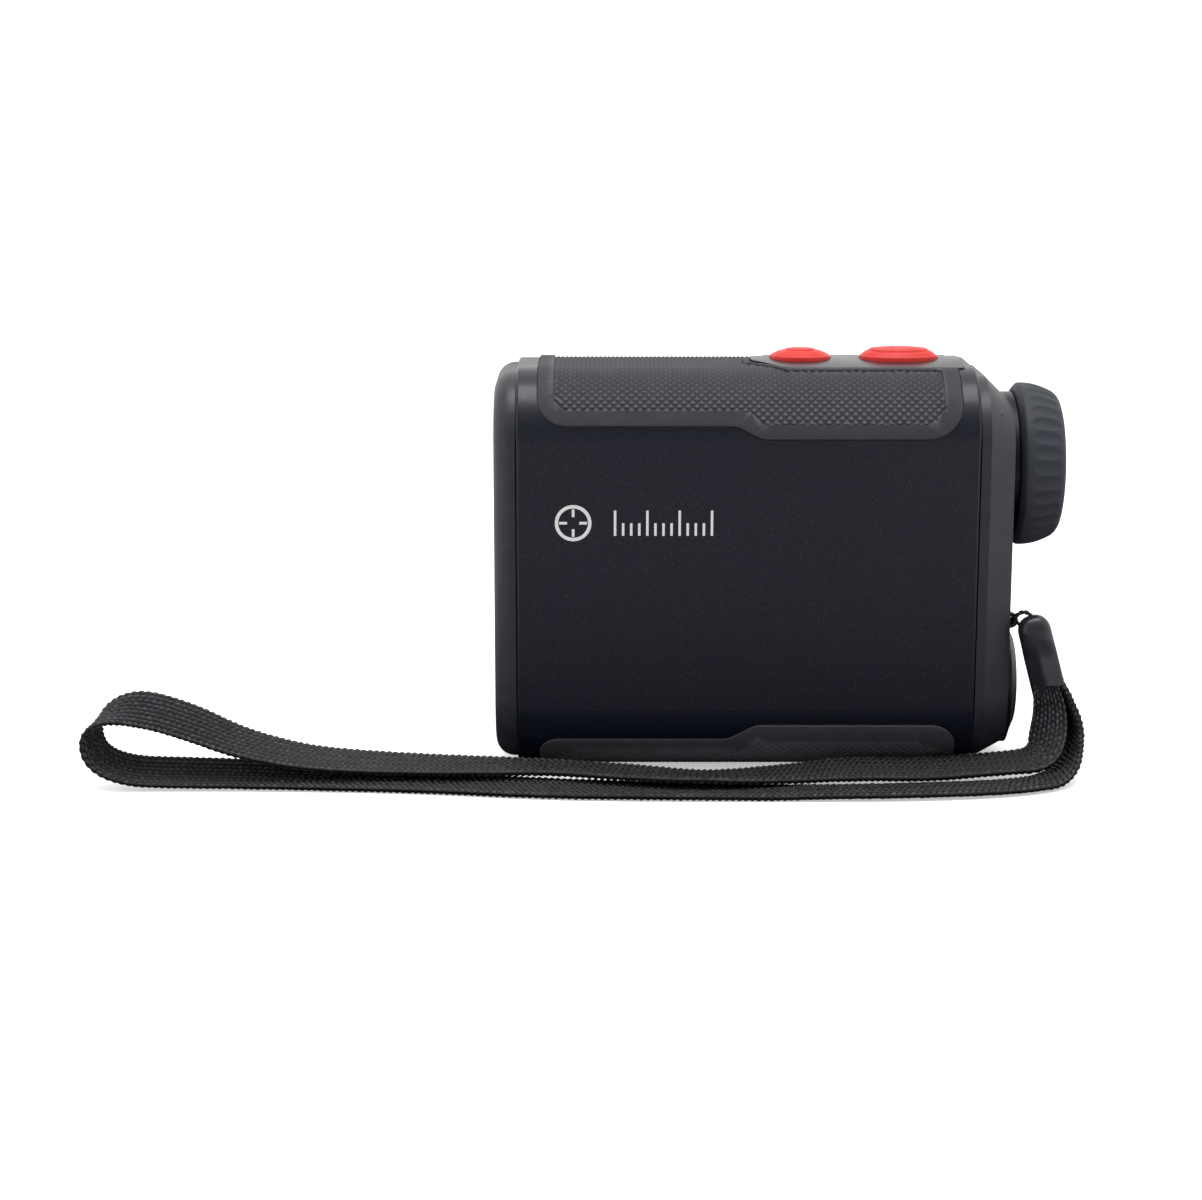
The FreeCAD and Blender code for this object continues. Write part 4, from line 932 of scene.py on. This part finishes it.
def braid_nylon():
    """Black nylon yarn, painted pale on the beads as a painted highlight and painted dark between them as
    painted shade, with filaments that catch the light.
    """
    finish = Finish("strap_braid", (0.02, 0.02, 0.023), 0.4, Specular_IOR_Level=0.34)
    bead_shade_and_tone = finish.node("ShaderNodeAttribute", attribute_name="bead_shade_and_tone").outputs["Fac"]
    filaments = finish.noise(0.07, 2.0, stretch=(1.0, 2.4, 2.4))
    yarn = finish.blend(finish.span(finish.noise(0.9, 2.0), 0.35, 0.68), (0.036, 0.036, 0.045),
                        (0.130, 0.130, 0.152))
    # painted highlight on the beads' tops and painted shade in the valleys between them, from the per-point
    # attribute
    finish.put("Base Color", finish.blend(finish.span(bead_shade_and_tone, 0.12, 0.95), (0.0015, 0.0015, 0.0022), yarn))
    finish.put("Roughness", finish.span(filaments, 0.3, 0.7, 0.24, 0.52))
    finish.bump(filaments, 0.035)
    return finish.material


def twisted_cord():
    """Thin black cord, its filaments running along it."""
    finish = Finish("thin_cord", (0.009, 0.009, 0.010), 0.5)
    finish.bump(finish.noise(0.06, 2.0, stretch=(2.0, 2.0, 1.0)), 0.02)
    finish.put("Roughness", finish.span(finish.noise(0.4, 3.0), 0.3, 0.7, 0.35, 0.6))
    return finish.material


def metal(name, color, roughness, stretch):
    """Turned or drawn metal, with fine marks along the way it was worked."""
    finish = Finish(name, color, roughness, Metallic=1.0)
    marks = finish.noise(0.12, 3.0, stretch=stretch)
    finish.put("Roughness", finish.span(marks, 0.3, 0.7, roughness - 0.07, roughness + 0.09))
    tone = tuple(part * 0.8 for part in color)
    finish.put("Base Color", finish.blend(finish.span(finish.noise(3.0, 4.0), 0.3, 0.7), color, tone))
    finish.bump(marks, 0.003)
    return finish.material


def glass(name, tint, film):
    """Polished glass under an anti-reflection film of so many nanometres, with a little dust."""
    finish = Finish(name, tint, 0.02, Transmission_Weight=0.9, IOR=1.52, Thin_Film_Thickness=film,
                    Thin_Film_IOR=1.38)
    dust = finish.span(finish.noise(0.5, 4.0), 0.72, 0.8)
    finish.put("Roughness", finish.span(dust, 0, 1, 0.015, 0.12))
    return finish.material


def print_white():
    """Pad-printed ink, thin in places."""
    ink = (0.80, 0.80, 0.79)
    finish = Finish("print_white", ink, 0.55)
    thin = finish.span(finish.noise(0.18, 3.0), 0.62, 0.78)
    finish.put("Base Color", finish.blend(thin, ink, (0.55, 0.55, 0.55)))
    finish.bump(finish.noise(0.08, 2.0), 0.003)
    return finish.material


FINISHES = {
    "shell_paint": shell_paint(),
    "bezel_plastic": worn_plastic("bezel_plastic", (0.0165, 0.0175, 0.0235), 0.38, 0.14, 0.005),
    "grip_rubber": grip_rubber(),
    "deck_plastic": worn_plastic("deck_plastic", (0.018, 0.018, 0.021), 0.26, grain_deep=0.003),
    "button_red": button_red(),
    "eyepiece_rubber": eyepiece_rubber(),
    "cap_plastic": worn_plastic("cap_plastic", (0.008, 0.008, 0.0095), 0.38),
    "black_aluminium": metal("black_aluminium", (0.028, 0.028, 0.031), 0.34, (0.2, 1.0, 1.0)),
    "lens_glass": glass("lens_glass", (0.86, 0.93, 0.95), 420.0),
    "prism_glass": glass("prism_glass", (0.95, 0.97, 0.98), 0.0),
    "screen_glass": glass("screen_glass", (0.30, 0.33, 0.36), 300.0),
    "frame_plastic": worn_plastic("frame_plastic", (0.035, 0.035, 0.04), 0.5),
    "board_green": worn_plastic("board_green", (0.012, 0.075, 0.030), 0.35, grain_mm=0.5),
    "chip_black": worn_plastic("chip_black", (0.012, 0.012, 0.013), 0.35, grain_mm=0.5),
    "flex_amber": worn_plastic("flex_amber", (0.42, 0.17, 0.02), 0.35, grain_mm=0.5),
    "seal_rubber": worn_plastic("seal_rubber", (0.014, 0.014, 0.014), 0.6),
    "screw_steel": metal("screw_steel", (0.42, 0.42, 0.43), 0.3, (1.0, 0.3, 1.0)),
    "spring_steel": metal("spring_steel", (0.52, 0.52, 0.53), 0.25, (1.0, 1.0, 0.3)),
    "contact_brass": metal("contact_brass", (0.68, 0.50, 0.20), 0.3, (1.0, 0.4, 1.0)),
    "cell_can": metal("cell_can", (0.14, 0.15, 0.17), 0.33, (0.3, 1.0, 1.0)),
    "connector_plastic": worn_plastic("connector_plastic", (0.017, 0.018, 0.023), 0.25, 0.3, 0.002, 0.05),
    "strap_braid": braid_nylon(),
    "thin_cord": twisted_cord(),
}


def dress_frame():
    """Give every CAD node the finish of its slot in the record."""
    for subpart in frame["record"]["subparts"]:
        node = frame["nodes"][subpart["node"]]
        node.data.materials.clear()
        node.data.materials.append(FINISHES[subpart["material_slot"]])


# ---- studio ----

# the sky's strength from the near side and from all others, how far towards +Y a direction points where
# one fades into the other, and the strength with which the camera sees it
NEAR_LIGHT = 0.3
FAR_LIGHT = 1.06
NEAR_FADE = (-0.97, -0.3)
SEEN_LIGHT = 1.06
FLOOR_HALF = 8.0
FLOOR_COLOR = (0.92, 0.92, 0.92)


def add_floor():
    """A pale sweep: the camera sees it fully lit, the object gets less light back from it, and in reflections
    it is painted dark near the object, a painted shade.
    """
    corners = ((-1, -1), (1, -1), (1, 1), (-1, 1))
    mesh = bpy.data.meshes.new("floor")
    mesh.from_pydata([(x * FLOOR_HALF, y * FLOOR_HALF, 0) for x, y in corners], [], [(0, 1, 2, 3)])
    finish = Finish("floor_pale", FLOOR_COLOR, 0.9)
    finish.put("Specular IOR Level", 0.0)
    rays = finish.node("ShaderNodeLightPath").outputs
    split = finish.node("ShaderNodeSeparateXYZ")
    finish.link(finish.place, split, "Vector")
    away = {}
    for axis in ("X", "Y"):
        away[axis] = finish.node("ShaderNodeMath", operation="ABSOLUTE")
        finish.link(split.outputs[axis], away[axis], 0)
    # painted shade: as seen in reflections the floor is dark near the object and paler farther out along Y
    # and X
    reflected_floor_shade = finish.blend(finish.span(away["Y"].outputs[0], 0.035, 0.17), (0.01, 0.01, 0.012),
                            (0.34, 0.34, 0.37))
    reflected_floor_shade = finish.blend(finish.span(away["X"].outputs[0], 0.08, 0.28), reflected_floor_shade, (0.85, 0.85, 0.88))
    unseen = finish.blend(rays["Is Glossy Ray"], (0.70, 0.70, 0.71), reflected_floor_shade)
    finish.put("Base Color", finish.blend(rays["Is Camera Ray"], unseen, FLOOR_COLOR))
    finish.put("Emission Color", (1, 1, 1, 1))
    finish.put("Emission Strength", finish.span(rays["Is Camera Ray"], 0, 1, 0.0, 0.45))
    mesh.materials.append(finish.material)
    floor = bpy.data.objects.new("floor", mesh)
    bpy.context.scene.collection.objects.link(floor)


def add_softbox(name, place, target, size, power):
    """A rectangular lamp at a place, turned to shine at a target."""
    lamp = bpy.data.lights.new(name, "AREA")
    lamp.shape = "RECTANGLE"
    lamp.size, lamp.size_y = size
    lamp.energy = power
    box = bpy.data.objects.new(name, lamp)
    box.location = place
    box.rotation_euler = (Vector(target) - Vector(place)).to_track_quat("-Z", "Y").to_euler()
    bpy.context.scene.collection.objects.link(box)


def add_world():
    """A light tent: bright above and behind the object, dim on the near side, and seen as white."""
    world = bpy.data.worlds.new("studio")
    bpy.context.scene.world = world
    world.use_nodes = True
    tree = world.node_tree
    background = tree.nodes["Background"]
    facing = tree.nodes.new("ShaderNodeTexCoord")
    split = tree.nodes.new("ShaderNodeSeparateXYZ")
    tree.links.new(facing.outputs["Generated"], split.inputs[0])
    fade = tree.nodes.new("ShaderNodeMapRange")
    fade.interpolation_type = "SMOOTHSTEP"
    tree.links.new(split.outputs["Y"], fade.inputs["Value"])
    set_span(fade, *NEAR_FADE, NEAR_LIGHT, FAR_LIGHT)
    path = tree.nodes.new("ShaderNodeLightPath")
    shown = tree.nodes.new("ShaderNodeMix")
    tree.links.new(path.outputs["Is Camera Ray"], shown.inputs["Factor"])
    lighting, seen = NUMBER_PAIR
    tree.links.new(fade.outputs["Result"], shown.inputs[lighting])
    shown.inputs[seen].default_value = SEEN_LIGHT
    tree.links.new(shown.outputs[NUMBER_RESULT], background.inputs["Strength"])
    background.inputs["Color"].default_value = (1, 1, 1, 1)


def add_studio():
    add_floor()
    add_world()
    add_softbox("softbox_top", (0.0, -0.1, 0.9), (0, 0, 0), (0.7, 0.5), 4.0)
    bpy.context.scene.view_settings.view_transform = "Standard"


# ---- the object ----

def make_everything():
    dress_frame()
    sleeve = make_connector(FINISHES["connector_plastic"])
    strap, strap_line = make_strap(FINISHES["strap_braid"])
    loop, loop_line = make_loop(FINISHES["thin_cord"])
    make_grips(FINISHES["grip_rubber"])
    make_eyepiece(FINISHES["eyepiece_rubber"])
    make_button("mode_button_cap", "mode_button", "mode", 3.85, (11.1, 9.2), 76.9, (5.5, 4.6), 0.36, 0.08,
                FINISHES["button_red"])
    make_button("fire_button_cap", "fire_button", "fire", 22.0, (14.3, 10.0), 77.15, (11.0, 7.2), 0.7, 0.34,
                FINISHES["button_red"])
    make_mark(print_white())


make_everything()
add_studio()
